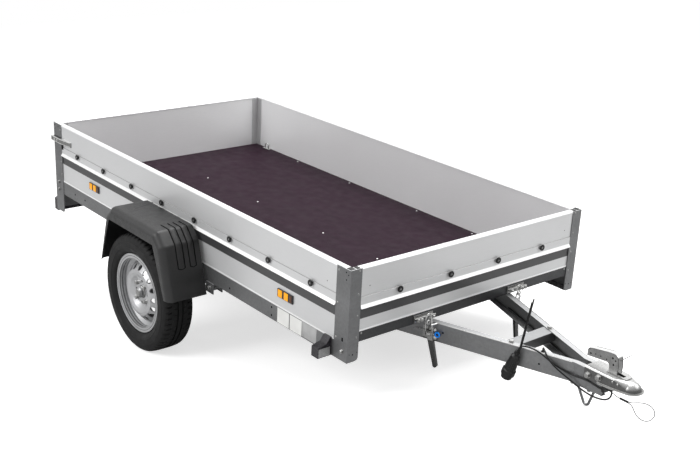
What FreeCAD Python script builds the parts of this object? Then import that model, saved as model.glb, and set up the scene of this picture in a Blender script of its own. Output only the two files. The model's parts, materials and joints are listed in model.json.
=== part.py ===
"""Single-axle box trailer with aluminium board sides and a tilting V drawbar.

The trailer is drawn level: X runs forward from the rear faces of the corner posts,
Y to the left from the middle, Z up from the wheel axis. At the end every piece is turned
nose down, the way the empty trailer stands on its two wheels and its wire foot.
"""
import FreeCAD, Part
import math
import os
import Sketcher

Vector = FreeCAD.Vector

SIZES = [
    # Bed and boards
    ("bed_length", 2434, "over the corner posts"),
    ("bed_width", 1306, "over the corner posts"),
    ("post_wall", 3, "sheet of the corner posts"),
    ("rear_post_side", 83, "side flange of a rear post"),
    ("rear_post_back", 28, "back flange of a rear post"),
    ("front_post_side", 80, "side flange of a front post"),
    ("front_post_front", 55, "front flange of a front post"),
    ("post_corner", 14, "rounded lower corners of a post"),
    ("top_level", 500, "top of boards and posts above the wheel axis"),
    ("front_post_foot", 126, "lower end of a front post"),
    ("rear_post_foot", 22, "lower end of a rear post"),
    ("board_thickness", 25, "thickness of a board"),
    ("board_wall", 2.2, "wall of the hollow board"),
    ("side_board_foot", 193, "lower edge of a side board"),
    ("front_board_foot", 242, "lower edge of the front board"),
    ("gate_foot", 198, "lower edge of the tailgate"),
    ("gate_side_gap", 6, "tailgate inside the side boards"),
    ("gate_set", 2, "tailgate behind the inside of the rear posts"),
    ("groove_level", 384, "groove line above the cover channel"),
    ("ledge_top", 349, "upper edge of the ledge"),
    ("ledge_foot", 337, "lower edge of the ledge"),
    ("ledge_out", 10, "how far the ledge stands out"),
    ("channel_out", 2, "how far the channel cover stands out"),
    ("panel_recess", 1.5, "how far the striped panel lies back"),
    ("lip_height", 7, "lip along the lower edge"),
    ("cap_height", 10, "rounded cap along the top"),
    ("cap_out", 2, "how far the cap stands out"),
    ("shelf_width", 12, "shelf of a side board under the floor"),
    ("floor_level", 212, "top of the floor"),
    ("floor_thickness", 9, "plywood"),
    ("edge_gap", 0.3, "gap round panels"),
    # Frame
    ("rail_foot", 123, "underside of the frame"),
    ("rail_wall", 3, "sheet of the frame"),
    ("rail_top_flange", 20, "upper flange of a side rail"),
    ("rail_foot_flange", 38, "lower flange of a side rail"),
    ("front_rail_foot", 200, "underside of the front rail"),
    ("front_rail_shelf", 40, "flange of the front rail under the floor"),
    ("member_width", 40, "flange of a cross member"),
    ("member_1", 437, "back of the first cross member"),
    ("member_2", 900, "back of the second cross member"),
    ("member_3", 1439, "back of the third cross member"),
    ("member_4_inset", 609, "back of the fourth cross member to the bed's front"),
    ("sill_depth", 30, "flange of the rear sill"),
    ("lamp_beam_foot", 28, "lower edge of the lamp beam"),
    ("corner_angle_leg", 38, "leg of the inner corner angles"),
    ("corner_angle_wall", 2.5, "sheet of the inner corner angles"),
    # Axle and springs
    ("axle_x", 1180, "wheel axis from the rear"),
    ("axle_square", 50, "square axle beam"),
    ("axle_wall", 4, "wall of the axle beam"),
    ("axle_collar", 42.5, "between the square beam and the hub"),
    ("axle_overlap", 30, "spindle inside the square beam"),
    ("spindle_end_gap", 2, "spindle short of the wheel's mounting face"),
    ("spindle_radius", 15, "wheel spindle"),
    ("spindle_shoulder", 24, "radius of the spindle collar"),
    ("spring_inset", 22, "middle of a leaf spring inside the bed's face"),
    ("spring_width", 40, "width of the leaves"),
    ("spring_half", 320, "axle to spring eye"),
    ("spring_camber", 40, "rise of the main leaf at its eye"),
    ("leaf_thickness", 7, "one leaf"),
    ("leaf_two_half", 230, "half length of the second leaf"),
    ("leaf_three_half", 140, "half length of the third leaf"),
    ("spring_seat", 4, "seat plate on the axle"),
    ("spring_seat_margin", 10, "seat plate in front of and behind the axle"),
    ("eye_radius", 8, "bore of the spring eye"),
    ("hanger_wall", 4, "ears of a spring hanger"),
    ("hanger_width", 56, "spring hanger along the rail"),
    ("hanger_pin_radius", 7.9, "spring bolt"),
    ("hanger_drop", 22, "ears of a hanger below its bolt"),
    ("hanger_side_gap", 1, "between a leaf spring and the ears"),
    ("slipper_inset", 14, "rear spring end behind its bolt"),
    ("clamp_bar_radius", 5, "bar of the spring U-bolts"),
    ("clamp_gap", 1, "between a U-bolt and the spring"),
    ("clamp_axle_gap", 2, "between a U-bolt and the axle"),
    ("clamp_plate", 6, "plate below the axle"),
    ("clamp_plate_margin", 12, "plate beyond the U-bolts and the spring"),
    ("clamp_tail", 18, "U-bolts below the axle"),
    # Wheels
    ("wheel_gap", 121.5, "middle plane of a wheel outside the bed's face"),
    ("tyre_radius", 273.5, "outer radius of the tyre"),
    ("tyre_width", 155, "section width of the tyre"),
    ("tread_width", 118, "flat of the tread"),
    ("shoulder_radius", 26, "tyre shoulder"),
    ("tyre_belly", 18, "widest part of the tyre below its shoulder"),
    ("tyre_rim_gap", 2, "sidewall outside the rim flange"),
    ("sidewall_round", 40, "arc of the sidewall"),
    ("tread_round", 30, "arc from sidewall to tread"),
    ("tread_ease", 4, "tread edge inside the shoulder"),
    ("shoulder_ease", 1, "shoulder inside the widest part"),
    ("rim_seat_radius", 165, "bead seat"),
    ("rim_flange_height", 17.5, "rim flange above the bead seat"),
    ("rim_drop", 20, "drop centre below the bead seat"),
    ("rim_inside_width", 114, "between the rim flanges"),
    ("rim_sheet", 4, "rim barrel sheet"),
    ("well_inset", 34, "edge of the drop centre inside the rim flange"),
    ("well_slope", 14, "slope down to the drop centre"),
    ("well_ease", 2, "slope outside that edge"),
    ("disc_sheet", 4, "wheel disc sheet"),
    ("wheel_offset", 30, "mounting face outside the middle plane"),
    ("crown_share", 0.56, "crown of the wheel disc as a share of the bead seat's radius"),
    ("crown_out", 22, "crown outside the mounting face"),
    ("crown_ease", 12, "rounded part of the crown to both sides"),
    ("crown_fall", 6, "how far the crown falls towards the middle there"),
    ("bowl_share", 0.66, "flat middle of the disc as a share of the crown"),
    ("disc_weld", 0.5, "how deep the disc is welded into the rim"),
    ("disc_weld_length", 10, "weld along the rim"),
    ("disc_edge", 6, "rounded edge of the disc at the rim"),
    ("vent_count", 16, "vent holes of the disc"),
    ("vent_circle_share", 0.715, "ring of vent holes as a share of the bead seat's radius"),
    ("vent_radius", 11.5, "vent hole"),
    ("bolt_circle", 50, "radius of the wheel bolt circle"),
    ("bolt_hole_radius", 6.5, "wheel bolt hole"),
    ("centre_bore", 29, "centre bore of the wheel"),
    ("hub_flange_radius", 59, "hub flange"),
    ("hub_flange", 10, "thickness of the hub flange"),
    ("hub_radius", 32, "hub barrel"),
    ("hub_length", 62, "hub barrel behind the flange"),
    ("cap_radius", 24, "grease cap"),
    ("cap_length", 26, "grease cap"),
    ("cap_edge", 8, "sloped edge of the grease cap"),
    ("running_fit", 0.06, "radial clearance of turning fits"),
    ("tyre_gap", 0.3, "between tyre and rim"),
    # Mudguards
    ("guard_ahead", 5, "middle of a mudguard in front of the axle"),
    ("guard_gap", 16, "inner edge of a mudguard outside the bed's face"),
    ("guard_width", 191, "width of a mudguard"),
    ("stay_spacing", 120, "between the stays of a mudguard"),
    ("stay_width", 30, "stay of a mudguard"),
    ("stay_wall", 4, "flat bar of the stays"),
    ("stay_rise", 10, "stay above the foot and below the top of the rail"),
    ("guard_sheet", 3.5, "mudguard sheet"),
    ("guard_top", 358, "top of a mudguard"),
    ("guard_top_half", 195, "half length of its flat top"),
    ("guard_shoulder", 303, "level of its shoulder"),
    ("guard_shoulder_half", 248, "half length at the shoulder"),
    ("guard_foot", 70, "lower edge of a mudguard"),
    ("guard_foot_half", 313, "half length at its lower edge"),
    ("guard_round", 30, "rounding along its outer edge"),
    ("guard_bend", 22, "rounding of its bends"),
    ("guard_skirt", 62, "depth of the outer skirt"),
    ("guard_leg", 42, "width of the skirt on its legs"),
    # Drawbar
    ("arm_top", 199.7, "top of the drawbar arms"),
    ("arm_height", 80, "height of an arm"),
    ("arm_wall", 3, "sheet of an arm"),
    ("arm_flange", 35, "flanges of an arm"),
    ("arm_nose_flange", 24, "flanges at the nose"),
    ("arm_nose_y", 40, "outer face of the arms at the nose"),
    ("arm_bend_inset", 228, "bend of the arms behind the ball"),
    ("arm_nose_inset", 93, "front end of the arms behind the ball"),
    ("pivot_inset", 522, "tilt pivot behind the bed's front"),
    ("pivot_y", 425, "outer face of an arm at its pivot"),
    ("pivot_bolt", 8, "radius of the tilt pivot bolts"),
    ("pivot_bush", 15, "outer radius of the pivot bushes"),
    ("pivot_bush_length", 50, "length of a pivot bush"),
    ("pivot_gap", 1.5, "bush to ear"),
    ("bush_inset", 5, "middle of a bush inside the arm's web"),
    ("ear_margin", 8, "plate of a tilt bracket beyond its ears"),
    ("arm_tail", 5, "arm behind its rounded end"),
    ("ear_wall", 6, "ears of the tilt brackets"),
    ("ear_radius", 28, "rounded end of the ears"),
    ("ear_half", 18, "half height of the ears at the cross member"),
    ("brace_inset", 506, "back of the drawbar brace behind the ball"),
    ("brace_width", 56, "width of the drawbar brace"),
    ("brace_height", 40, "height of the drawbar brace"),
    # Coupling and foot
    ("ball_reach", 804, "centre of the ball socket in front of the bed"),
    ("ball_level", 180, "centre of the ball socket"),
    ("socket_radius", 25.2, "ball socket"),
    ("coupling_wall", 4, "pressed sheet of the coupling"),
    ("coupling_length", 180, "rear end of the coupling behind the ball"),
    ("coupling_top", 209, "top of the coupling"),
    ("coupling_foot", 161, "lower edge of its sides at the rear"),
    ("coupling_rise", 11, "how much higher that edge is below the ball"),
    ("coupling_round", 9, "rounded upper edges of the coupling"),
    ("head_radius", 38, "domed head"),
    ("neck_inset", 48, "where the sides draw in, behind the ball"),
    ("lip_length", 118, "flared lip of the coupling behind the ball"),
    ("lip_out", 6, "how far the lip stands out"),
    ("frame_rear", 102, "raised frame on the coupling, behind the ball"),
    ("frame_front", 16, "front end of the raised frame, behind the ball"),
    ("frame_half", 17, "half width of the raised frame"),
    ("frame_height", 3, "raised frame"),
    ("slot_rear", 60, "slot in the frame, behind the ball"),
    ("slot_front", 34, "front end of the slot, behind the ball"),
    ("slot_half", 8, "half width of the slot"),
    ("handle_half", 13, "half width of the handle"),
    ("handle_wall", 3, "pressed sheet of the handle"),
    ("handle_leg_rear", 98, "rear of the handle's leg, behind the ball"),
    ("handle_leg_front", 60, "front of the handle's leg, behind the ball"),
    ("handle_rear", 198, "rear end of the handle, behind the ball"),
    ("handle_knee", 76, "height of the handle's knee"),
    ("handle_drop", 18, "how much lower the handle's grip ends"),
    ("handle_grip", 32, "underside of the grip over the handle's foot"),
    ("handle_rod", 1.5, "radius of the rod on the handle"),
    ("handle_shoulder", 26, "shoulder of the handle in front of its knee"),
    ("handle_shoulder_drop", 11, "front end of that shoulder below the knee"),
    ("handle_lean", 2, "how far the leg leans forward"),
    ("handle_end", 14, "rounded end of the grip"),
    ("handle_end_flat", 12, "top of that rounding along the grip"),
    ("handle_lip", 9, "turned-down end of the grip"),
    ("handle_lip_length", 15, "length of that end"),
    ("handle_lip_rise", 2, "how much that end rises towards the grip"),
    ("handle_finger", 18, "rounding for the fingers at the leg"),
    ("holder_inset", 92, "rear of the rubber cable holder behind the ball"),
    ("holder_length", 14, "cable holder"),
    ("holder_half", 49, "half width of the cable holder below the coupling"),
    ("holder_foot", 142, "lower edge of the cable holder"),
    ("holder_top", 172, "top of the cable holder"),
    ("foot_bar", 5, "radius of the foot's bar"),
    ("foot_level", 28, "underside of the foot"),
    ("foot_inset", 185, "lowest point of the foot behind the ball"),
    ("foot_bend", 13, "bend of the foot at its middle line"),
    ("foot_back", 58, "reach of the rear leg"),
    ("foot_front", 36, "reach of the front leg"),
    ("foot_plate", 4, "plate of the foot"),
    ("foot_plate_margin", 14, "plate beyond the legs of the foot"),
    ("foot_plate_inset", 2, "plate inside the arms' outer faces"),
    # Tailgate hinges
    ("hinge_x", -9, "hinge line behind the posts"),
    ("hinge_z", 190, "hinge line"),
    ("hinge_spacing", 400, "between the tailgate hinges"),
    ("hinge_width", 56, "leaf of a hinge"),
    ("knuckle_radius", 7, "hinge knuckle"),
    ("knuckle_width", 24, "middle knuckle"),
    ("hinge_pin", 3.5, "radius of the hinge pin"),
    ("hinge_leaf", 4, "sheet of a hinge leaf"),
    ("hinge_foot", 58, "fixed leaf of a hinge below the top of the frame"),
    ("hinge_set", 1, "fixed leaf behind the inside of the sill"),
    ("hinge_neck", 8, "neck of a hinge leaf below the hinge line"),
    ("hinge_leaf_height", 52, "moving leaf of a hinge"),
    ("hinge_roll", 6, "foot of the moving leaf where it joins its knuckle"),
    ("knuckle_gap", 0.5, "between knuckles"),
    # Fittings
    ("knob_first", 267, "first cover knob of a side board"),
    ("knob_last", 228, "last cover knob behind the bed's front"),
    ("knob_level", 374, "cover knobs"),
    ("knob_radius", 13.5, "head of a cover knob"),
    ("knob_length", 10.5, "how far a cover knob stands out"),
    ("knob_stem", 6, "stem of a cover knob"),
    ("knob_edge", 2.5, "rounded edge of a knob"),
    ("knob_dish", 1.2, "dished face of a knob"),
    ("front_knob_pitch", 271, "between the cover knobs of a short board"),
    ("reflector_length", 100, "side reflector"),
    ("reflector_height", 35, "side reflector"),
    ("reflector_depth", 6, "side reflector"),
    ("reflector_rear", 383, "rear side reflector"),
    ("reflector_front", 442, "back of the front side reflector to the bed's front"),
    ("reflector_level", 257, "middle of the side reflectors"),
    ("front_lamp_inset", 136, "rear of a front lamp behind the bed's front"),
    ("front_lamp_length", 40, "front lamp along the rail"),
    ("front_lamp_out", 64, "how far a front lamp stands out"),
    ("front_lamp_foot", 122, "lower edge of a front lamp"),
    ("front_lamp_height", 42, "outer height of a front lamp"),
    ("front_lamp_rise", 10, "how much higher its root is"),
    ("front_lamp_wedge", 24, "wedge above its root"),
    ("front_lamp_wedge_out", 24, "foot of the wedge"),
    ("front_lamp_wedge_top", 8, "top of the wedge"),
    ("rear_lamp_foot", 10, "lower edge of a rear lamp"),
    ("rear_lamp_height", 62, "rear lamp"),
    ("rear_lamp_depth", 50, "how far a rear lamp stands back"),
    ("rear_lamp_width", 215, "rear lamp across"),
    ("rear_lamp_inset", 4, "outer end of a rear lamp inside the bed's face"),
    ("rear_lamp_bevel", 12, "sloped corners of a rear lamp"),
    ("ring_bar", 3, "radius of the lashing ring's bar"),
    ("ring_radius", 16, "lashing ring at its middle line"),
    ("ring_leg", 12, "straight legs of a lashing ring"),
    ("ring_rear", 152, "rear lashing rings"),
    ("ring_front", 154, "front lashing rings behind the bed's front"),
    ("ring_inset", 16, "lashing ring to the board"),
    ("ring_plate", 3, "foot plate of a lashing ring"),
    ("ring_plate_half", 28, "half length of that plate"),
    ("ring_plate_width", 20, "foot plate across"),
    ("latch_ahead", 18, "lever of the bed latch in front of the bed"),
    ("latch_level", 152, "pivot of the bed latch"),
    ("latch_base_rear", 35, "base of the bed latch behind its lever"),
    ("latch_base_front", 20, "base of the bed latch in front of its lever"),
    ("latch_base_foot", 30, "base of the bed latch below its pivot"),
    ("latch_base_top", 24, "base of the bed latch above its pivot"),
    ("latch_sheet", 3, "sheet of the bed latch"),
    ("latch_lever", 136, "lever of the bed latch below its pivot"),
    ("latch_lever_top", 13, "half width of the lever at its pivot"),
    ("latch_lever_end", 9, "half width of the lever at its end"),
    ("latch_lever_depth", 14, "pressed lever across"),
    ("latch_lean", 36, "how far the lever's end lies forward"),
    ("latch_pin", 4, "radius of the latch pins"),
    ("latch_pin_out", 14, "latch pin outside the arm"),
    ("latch_pin_end", 4, "latch pin beyond its ears"),
    ("latch_ear_half", 16, "half height of the latch ears at their root"),
    ("latch_ear_tip", 8, "half height of the latch ears at their tip"),
    ("latch_lever_head", 8, "latch lever above its pivot"),
    ("clip_radius", 9, "clip ring at its middle line"),
    ("clip_bar", 3.5, "radius of the clip ring's bar"),
    ("catch_y", 267, "middle of a bed catch"),
    ("catch_width", 100, "bed catch"),
    ("catch_out", 22, "how far the bed catch stands out"),
    ("catch_height", 30, "bed catch"),
    ("catch_sheet", 5, "sheet of the bed catch"),
    ("catch_rise", 4, "bed catch above the underside of the front rail"),
    ("catch_bevel", 4, "sloped upper edge of the bed catch"),
    ("gate_latch_level", 417, "middle of the tailgate latches"),
    ("gate_latch_front", 190, "front end of the tailgate latches"),
    ("gate_latch_height", 24, "tailgate latch"),
    ("gate_latch_sheet", 4, "sheet of a tailgate latch"),
    ("gate_latch_taper", 90, "slope of a tailgate latch down to the board"),
    ("gate_latch_out", 14, "outer face of a tailgate latch outside the bed"),
    ("gate_latch_gap", 8, "inner face of a tailgate latch outside the bed"),
    ("gate_latch_past", 6, "tailgate latch past the rear post, to both sides"),
    ("gate_catch_length", 60, "plate of a tailgate catch on the tailgate"),
    ("gate_catch_sheet", 4, "sheet of a tailgate catch"),
    ("gate_catch_out", 8, "knee of a tailgate catch behind the tailgate"),
    ("gate_catch_hook", 5, "hook of a tailgate catch outside the bed"),
    ("gate_catch_margin", 2, "tailgate catch lower than its latch, above and below"),
    # Leads
    ("lead_radius", 3.25, "power lead"),
    ("rope_radius", 1.5, "safety rope"),
    ("plug_radius", 27, "collar of the plug"),
    ("plug_length", 126, "plug with its gland"),
    ("plug_step", 4, "steps of the plug's contour"),
    ("plug_lid", 14, "lid of the plug"),
    ("plug_slope", 2, "slope between lid, collar and grip"),
    ("plug_collar", 22, "collar of the plug"),
    ("plug_neck", 10, "grip where it meets the gland, inside the collar"),
    ("gland_radius", 8, "gland of the plug"),
    ("gland_length", 17, "gland of the plug"),
    ("gland_cone", 7, "cone from the gland to the grip"),
    ("ferrule_radius", 4, "ferrule of the safety rope"),
    ("grommet_radius", 7, "grommet in the arm"),
    ("grommet_height", 4, "grommet above the arm"),
    ("tie_width", 6, "cable tie"),
    ("tie_thickness", 2.5, "cable tie"),
    ("tie_level", 6, "cable tie below the end of the gland"),
    ("tie_tail", 212.8, "tail of the cable tie"),
]


class Size:
    """A length that keeps its value together with the expression it came from."""

    def __init__(self, value, text):
        self.value = float(value)
        self.text = text

    @staticmethod
    def of(other):
        if isinstance(other, Size):
            return other
        return Size(other, "(%r)" % float(other))

    def __add__(self, other):
        other = Size.of(other)
        return Size(self.value + other.value, "(%s + %s)" % (self.text, other.text))

    def __radd__(self, other):
        return Size.of(other) + self

    def __sub__(self, other):
        other = Size.of(other)
        return Size(self.value - other.value, "(%s - %s)" % (self.text, other.text))

    def __rsub__(self, other):
        return Size.of(other) - self

    def __mul__(self, other):
        other = Size.of(other)
        return Size(self.value * other.value, "(%s * %s)" % (self.text, other.text))

    def __rmul__(self, other):
        return Size.of(other) * self

    def __truediv__(self, other):
        other = Size.of(other)
        return Size(self.value / other.value, "(%s / %s)" % (self.text, other.text))

    def __neg__(self):
        return Size(-self.value, "(-%s)" % self.text)


class Sizes:
    """The driving dimensions, read back from the sheet under their aliases."""


doc = FreeCAD.newDocument("BoxTrailer")
sheet = doc.addObject("Spreadsheet::Sheet", "Sizes")
for row, (alias, number, note) in enumerate(SIZES, start=1):
    sheet.set("A%d" % row, alias)
    sheet.set("B%d" % row, str(number))
    sheet.set("C%d" % row, note)
    sheet.setAlias("B%d" % row, alias)
doc.recompute()
s = Sizes()
for alias, number, note in SIZES:
    setattr(s, alias, Size(sheet.get(alias), "Sizes." + alias))

pieces = {}
mirrored = set()


def bind(item, prop, size):
    item.setExpression(prop, Size.of(size).text)


def keep(label, item):
    """Register a finished sub-part under the name of its file."""
    item.Label = label
    pieces[label] = item
    return item


# Sketches: an outline is a list of corners (u, v). A corner (u, v, r) starts an arc of
# radius r to the next corner, curving to the left for a positive r and to the right for
# a negative one.

def arc_between(start, end, radius):
    chord = end - start
    half = chord.Length / 2
    size = max(abs(radius), half * 1.000001)
    rise = size - math.sqrt(size * size - half * half)
    side = Vector(chord.y, -chord.x, 0).normalize()
    middle = (start + end) / 2 + side * (rise if radius > 0 else -rise)
    return Part.Arc(start, middle, end)


def draw_outline(sketch, corners):
    """Add one closed outline whose corners and radii follow the sheet."""
    points = [Vector(Size.of(c[0]).value, Size.of(c[1]).value, 0) for c in corners]
    count = len(corners)
    first = sketch.GeometryCount
    for i, corner in enumerate(corners):
        start, end = points[i], points[(i + 1) % count]
        if len(corner) == 3:
            edge = arc_between(start, end, Size.of(corner[2]).value)
        else:
            edge = Part.LineSegment(start, end)
        sketch.addGeometry(edge, False)
    for i, corner in enumerate(corners):
        here = first + i
        after = first + (i + 1) % count
        turned = len(corner) == 3 and Size.of(corner[2]).value < 0
        next_corner = corners[(i + 1) % count]
        next_turned = len(next_corner) == 3 and Size.of(next_corner[2]).value < 0
        begin = 2 if turned else 1
        finish = 1 if turned else 2
        next_begin = 2 if next_turned else 1
        sketch.addConstraint(Sketcher.Constraint("Coincident", here, finish, after, next_begin))
        for kind, coordinate in (("DistanceX", corner[0]), ("DistanceY", corner[1])):
            size = Size.of(coordinate)
            number = sketch.addConstraint(
                Sketcher.Constraint(kind, -1, 1, here, begin, size.value))
            if isinstance(coordinate, Size):
                bind(sketch, "Constraints[%d]" % number, size)
        if len(corner) == 3:
            radius = Size.of(corner[2])
            radius = -radius if radius.value < 0 else radius
            number = sketch.addConstraint(Sketcher.Constraint("Radius", here, radius.value))
            bind(sketch, "Constraints[%d]" % number, radius)


def draw_circle(sketch, u, v, radius):
    u, v, radius = Size.of(u), Size.of(v), Size.of(radius)
    circle = Part.Circle(Vector(u.value, v.value, 0), Vector(0, 0, 1), radius.value)
    here = sketch.addGeometry(circle, False)
    number = sketch.addConstraint(Sketcher.Constraint("Radius", here, radius.value))
    bind(sketch, "Constraints[%d]" % number, radius)
    for kind, size in (("DistanceX", u), ("DistanceY", v)):
        number = sketch.addConstraint(Sketcher.Constraint(kind, -1, 1, here, 3, size.value))
        bind(sketch, "Constraints[%d]" % number, size)


def new_body(name):
    return doc.addObject("PartDesign::Body", name)


def new_sketch(body, plane, offset=0, shift=0):
    """A sketch on one of the body's planes, moved along its normal and its first axis."""
    sketch = body.newObject("Sketcher::SketchObject", body.Name + "Sketch")
    support = [o for o in body.Origin.OriginFeatures if o.Role == plane + "_Plane"][0]
    sketch.AttachmentSupport = [(support, "")]
    sketch.MapMode = "FlatFace"
    bind(sketch, "AttachmentOffset.Base.z", offset)
    bind(sketch, "AttachmentOffset.Base.x", shift)
    return sketch


def draw(sketch, shapes):
    for shape in shapes:
        if isinstance(shape, tuple):
            draw_circle(sketch, *shape)
        else:
            draw_outline(sketch, shape)


def add_pad(body, plane, shapes, low, high):
    """Material between two levels along the plane's world axis (X, Y or Z)."""
    offset = -high if plane == "XZ" else low
    sketch = new_sketch(body, plane, offset)
    draw(sketch, shapes)
    pad = body.newObject("PartDesign::Pad", body.Name + "Pad")
    pad.Profile = sketch
    bind(pad, "Length", high - low)
    return pad


def add_pocket(body, plane, shapes, low, high):
    """Material taken away between two levels along the plane's world axis."""
    offset = -low if plane == "XZ" else high
    sketch = new_sketch(body, plane, offset)
    draw(sketch, shapes)
    pocket = body.newObject("PartDesign::Pocket", body.Name + "Pocket")
    pocket.Profile = sketch
    bind(pocket, "Length", high - low)
    return pocket


def prism(name, plane, shapes, low, high):
    body = new_body(name)
    add_pad(body, plane, shapes, Size.of(low), Size.of(high))
    return body


def box(u0, v0, u1, v1):
    return [(u0, v0), (u1, v0), (u1, v1), (u0, v1)]


def revolve(body, sketch):
    """A full turn of a sketch about its own vertical axis."""
    turn = body.newObject("PartDesign::Revolution", body.Name + "Turn")
    turn.Profile = sketch
    turn.ReferenceAxis = (sketch, ["V_Axis"])
    turn.Angle = 360
    return body


def turned(body, corners, x):
    """A solid of revolution about the line through (x, 0) along Y: corners are (radius, y)."""
    sketch = new_sketch(body, "XY", 0, x)
    draw_outline(sketch, corners)
    return revolve(body, sketch)


def round_edges(body, feature, chosen, radius):
    """Round those edges of a feature whose middle point passes a test."""
    doc.recompute()
    names = []
    for number, edge in enumerate(feature.Shape.Edges, start=1):
        if chosen(edge.valueAt((edge.FirstParameter + edge.LastParameter) / 2)):
            names.append("Edge%d" % number)
    rounding = body.newObject("PartDesign::Fillet", body.Name + "Round")
    rounding.Base = (feature, names)
    bind(rounding, "Radius", radius)
    return rounding


def upright(name, x, y, radius, low, high):
    """A round bar along Z."""
    item = doc.addObject("Part::Cylinder", name)
    bind(item, "Radius", radius)
    bind(item, "Height", high - low)
    bind(item, "Placement.Base.x", x)
    bind(item, "Placement.Base.y", y)
    bind(item, "Placement.Base.z", low)
    return item


def together(name, kind, parts):
    item = doc.addObject(kind, name)
    if kind == "Part::Compound":
        item.Links = parts
    else:
        item.Shapes = parts
    return item


def cut(name, base, tool):
    item = doc.addObject("Part::Cut", name)
    item.Base = base
    item.Tool = tool
    return item


def common(name, parts):
    return together(name, "Part::MultiCommon", parts)


def fuse(name, parts):
    return together(name, "Part::MultiFuse", parts)


def group(name, parts):
    return together(name, "Part::Compound", parts)


def mirror(name, source):
    """The same piece on the left side."""
    item = doc.addObject("Part::Mirroring", name)
    item.Source = source
    item.Normal = Vector(0, 1, 0)
    mirrored.add(item.Name)
    return item


def both(item):
    """A piece and its like on the left side."""
    return [item, mirror(item.Name + "Left", item)]


def cylinder_y(name, x, z, radius, y_low, y_high):
    """A round bar along Y."""
    item = doc.addObject("Part::Cylinder", name)
    bind(item, "Radius", radius)
    bind(item, "Height", y_high - y_low)
    item.Placement = FreeCAD.Placement(Vector(), FreeCAD.Rotation(Vector(1, 0, 0), -90))
    bind(item, "Placement.Base.x", x)
    bind(item, "Placement.Base.y", y_low)
    bind(item, "Placement.Base.z", z)
    return item


# Shared levels of the bed

half_width = s.bed_width / 2
board_face = half_width - s.post_wall
board_inside = board_face - s.board_thickness
front_face = s.bed_length - s.post_wall
rail_top = s.side_board_foot
member_half = board_face - s.rail_foot_flange
floor_under = s.floor_level - s.floor_thickness
wheel_y = half_width + s.wheel_gap
spring_y = half_width - s.spring_inset
guard_in = half_width + s.guard_gap
wheel_face = wheel_y + s.wheel_offset
ball_x = s.bed_length + s.ball_reach
pivot_x = s.bed_length - s.pivot_inset


def board_section(place, foot, shelf):
    """Section of the extruded board; place maps a depth from the outer face to a coordinate."""
    t = s.board_thickness
    cap_foot = s.top_level - s.cap_height
    outer = [
        (0, foot), (0, foot + s.lip_height),
        (s.panel_recess, foot + s.lip_height), (s.panel_recess, s.ledge_foot),
        (-s.ledge_out, s.ledge_foot), (-s.channel_out, s.ledge_top),
        (-s.channel_out, s.groove_level - s.channel_out), (0, s.groove_level),
        (0, cap_foot), (-s.cap_out, cap_foot),
        (-s.cap_out, s.top_level - s.cap_height / 2), (s.cap_out, s.top_level),
        (t - s.cap_out, s.top_level), (t + s.cap_out, s.top_level - s.cap_height / 2),
        (t + s.cap_out, cap_foot), (t, cap_foot),
    ]
    if shelf:
        outer += [(t, floor_under), (t + s.shelf_width, floor_under),
                  (t + s.shelf_width, foot)]
    else:
        outer += [(t, foot)]
    w = s.board_wall
    front = s.panel_recess + w
    chambers = [
        (front, foot + s.lip_height + w, t - w, s.ledge_foot - w),
        (front, s.ledge_foot, t - w, s.groove_level - w),
        (w, s.groove_level, t - w, cap_foot - w),
    ]
    loops = [[(place(d), z) for d, z in outer]]
    for d0, z0, d1, z1 in chambers:
        loops.append([(place(d), z) for d, z in box(d0, z0, d1, z1)])
    return loops


# Side boards: the ledge and channel end where the posts' flanges begin.
side_board = prism("SideBoard", "YZ",
                   board_section(lambda d: Size.of(d) - board_face, s.side_board_foot, True),
                   s.post_wall, front_face)
relief_out = -board_face - s.ledge_out - 1
relief_foot = s.ledge_foot - 1
relief_top = s.groove_level + 1
relief = box(relief_out, relief_foot, -board_face, relief_top)
add_pocket(side_board, "YZ", [relief], s.post_wall - 1, s.rear_post_side + s.edge_gap)
add_pocket(side_board, "YZ", [relief], s.bed_length - s.front_post_side - s.edge_gap,
           s.bed_length)
cap_relief = box(relief_out, s.top_level - s.cap_height, -board_face, s.top_level)
add_pocket(side_board, "YZ", [cap_relief], s.post_wall - 1, s.rear_post_side + s.edge_gap)
add_pocket(side_board, "YZ", [cap_relief], s.bed_length - s.front_post_side - s.edge_gap,
           s.bed_length)
gate_face = s.post_wall - s.gate_set
gate_inside = gate_face + s.board_thickness
stop_x = gate_inside + s.edge_gap
shelf_end = box(-board_inside, s.side_board_foot, s.shelf_width - board_inside, floor_under)
add_pocket(side_board, "YZ", [shelf_end], s.post_wall - 1, stop_x)
inner_cap = box(-board_inside, s.top_level - s.cap_height, s.cap_out - board_inside,
                s.top_level)
add_pocket(side_board, "YZ", [inner_cap],
           front_face - s.board_thickness - s.cap_out - s.edge_gap, s.bed_length)
keep("side_boards", group("SideBoards", both(side_board)))

front_board = prism("FrontBoard", "XZ",
                    board_section(lambda d: front_face - d, s.front_board_foot, False),
                    -board_inside, board_inside)
nose_relief = box(front_face, relief_foot, front_face + s.ledge_out + 1, relief_top)
nose_cap_relief = box(front_face, s.top_level - s.cap_height,
                      front_face + s.ledge_out + 1, s.top_level)
flange_edge = half_width - s.front_post_front - s.edge_gap
for shape in (nose_relief, nose_cap_relief):
    add_pocket(front_board, "XZ", [shape], -half_width, -flange_edge)
    add_pocket(front_board, "XZ", [shape], flange_edge, half_width)
keep("front_board", front_board)

# Corner posts: angle sections outside the boards, from the top to below the frame.


def round_corner(body, plane, edge, foot, inward, low, high):
    """Round the lower corner of a flange: inward is the sign towards the flange's middle."""
    inner = edge + inward * s.post_corner
    radius = -inward * s.post_corner
    if inward > 0:
        corner = [(edge, foot), (inner, foot, radius), (edge, foot + s.post_corner)]
    else:
        corner = [(edge, foot), (edge, foot + s.post_corner, -radius), (inner, foot)]
    add_pocket(body, plane, [corner], low, high)


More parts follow.
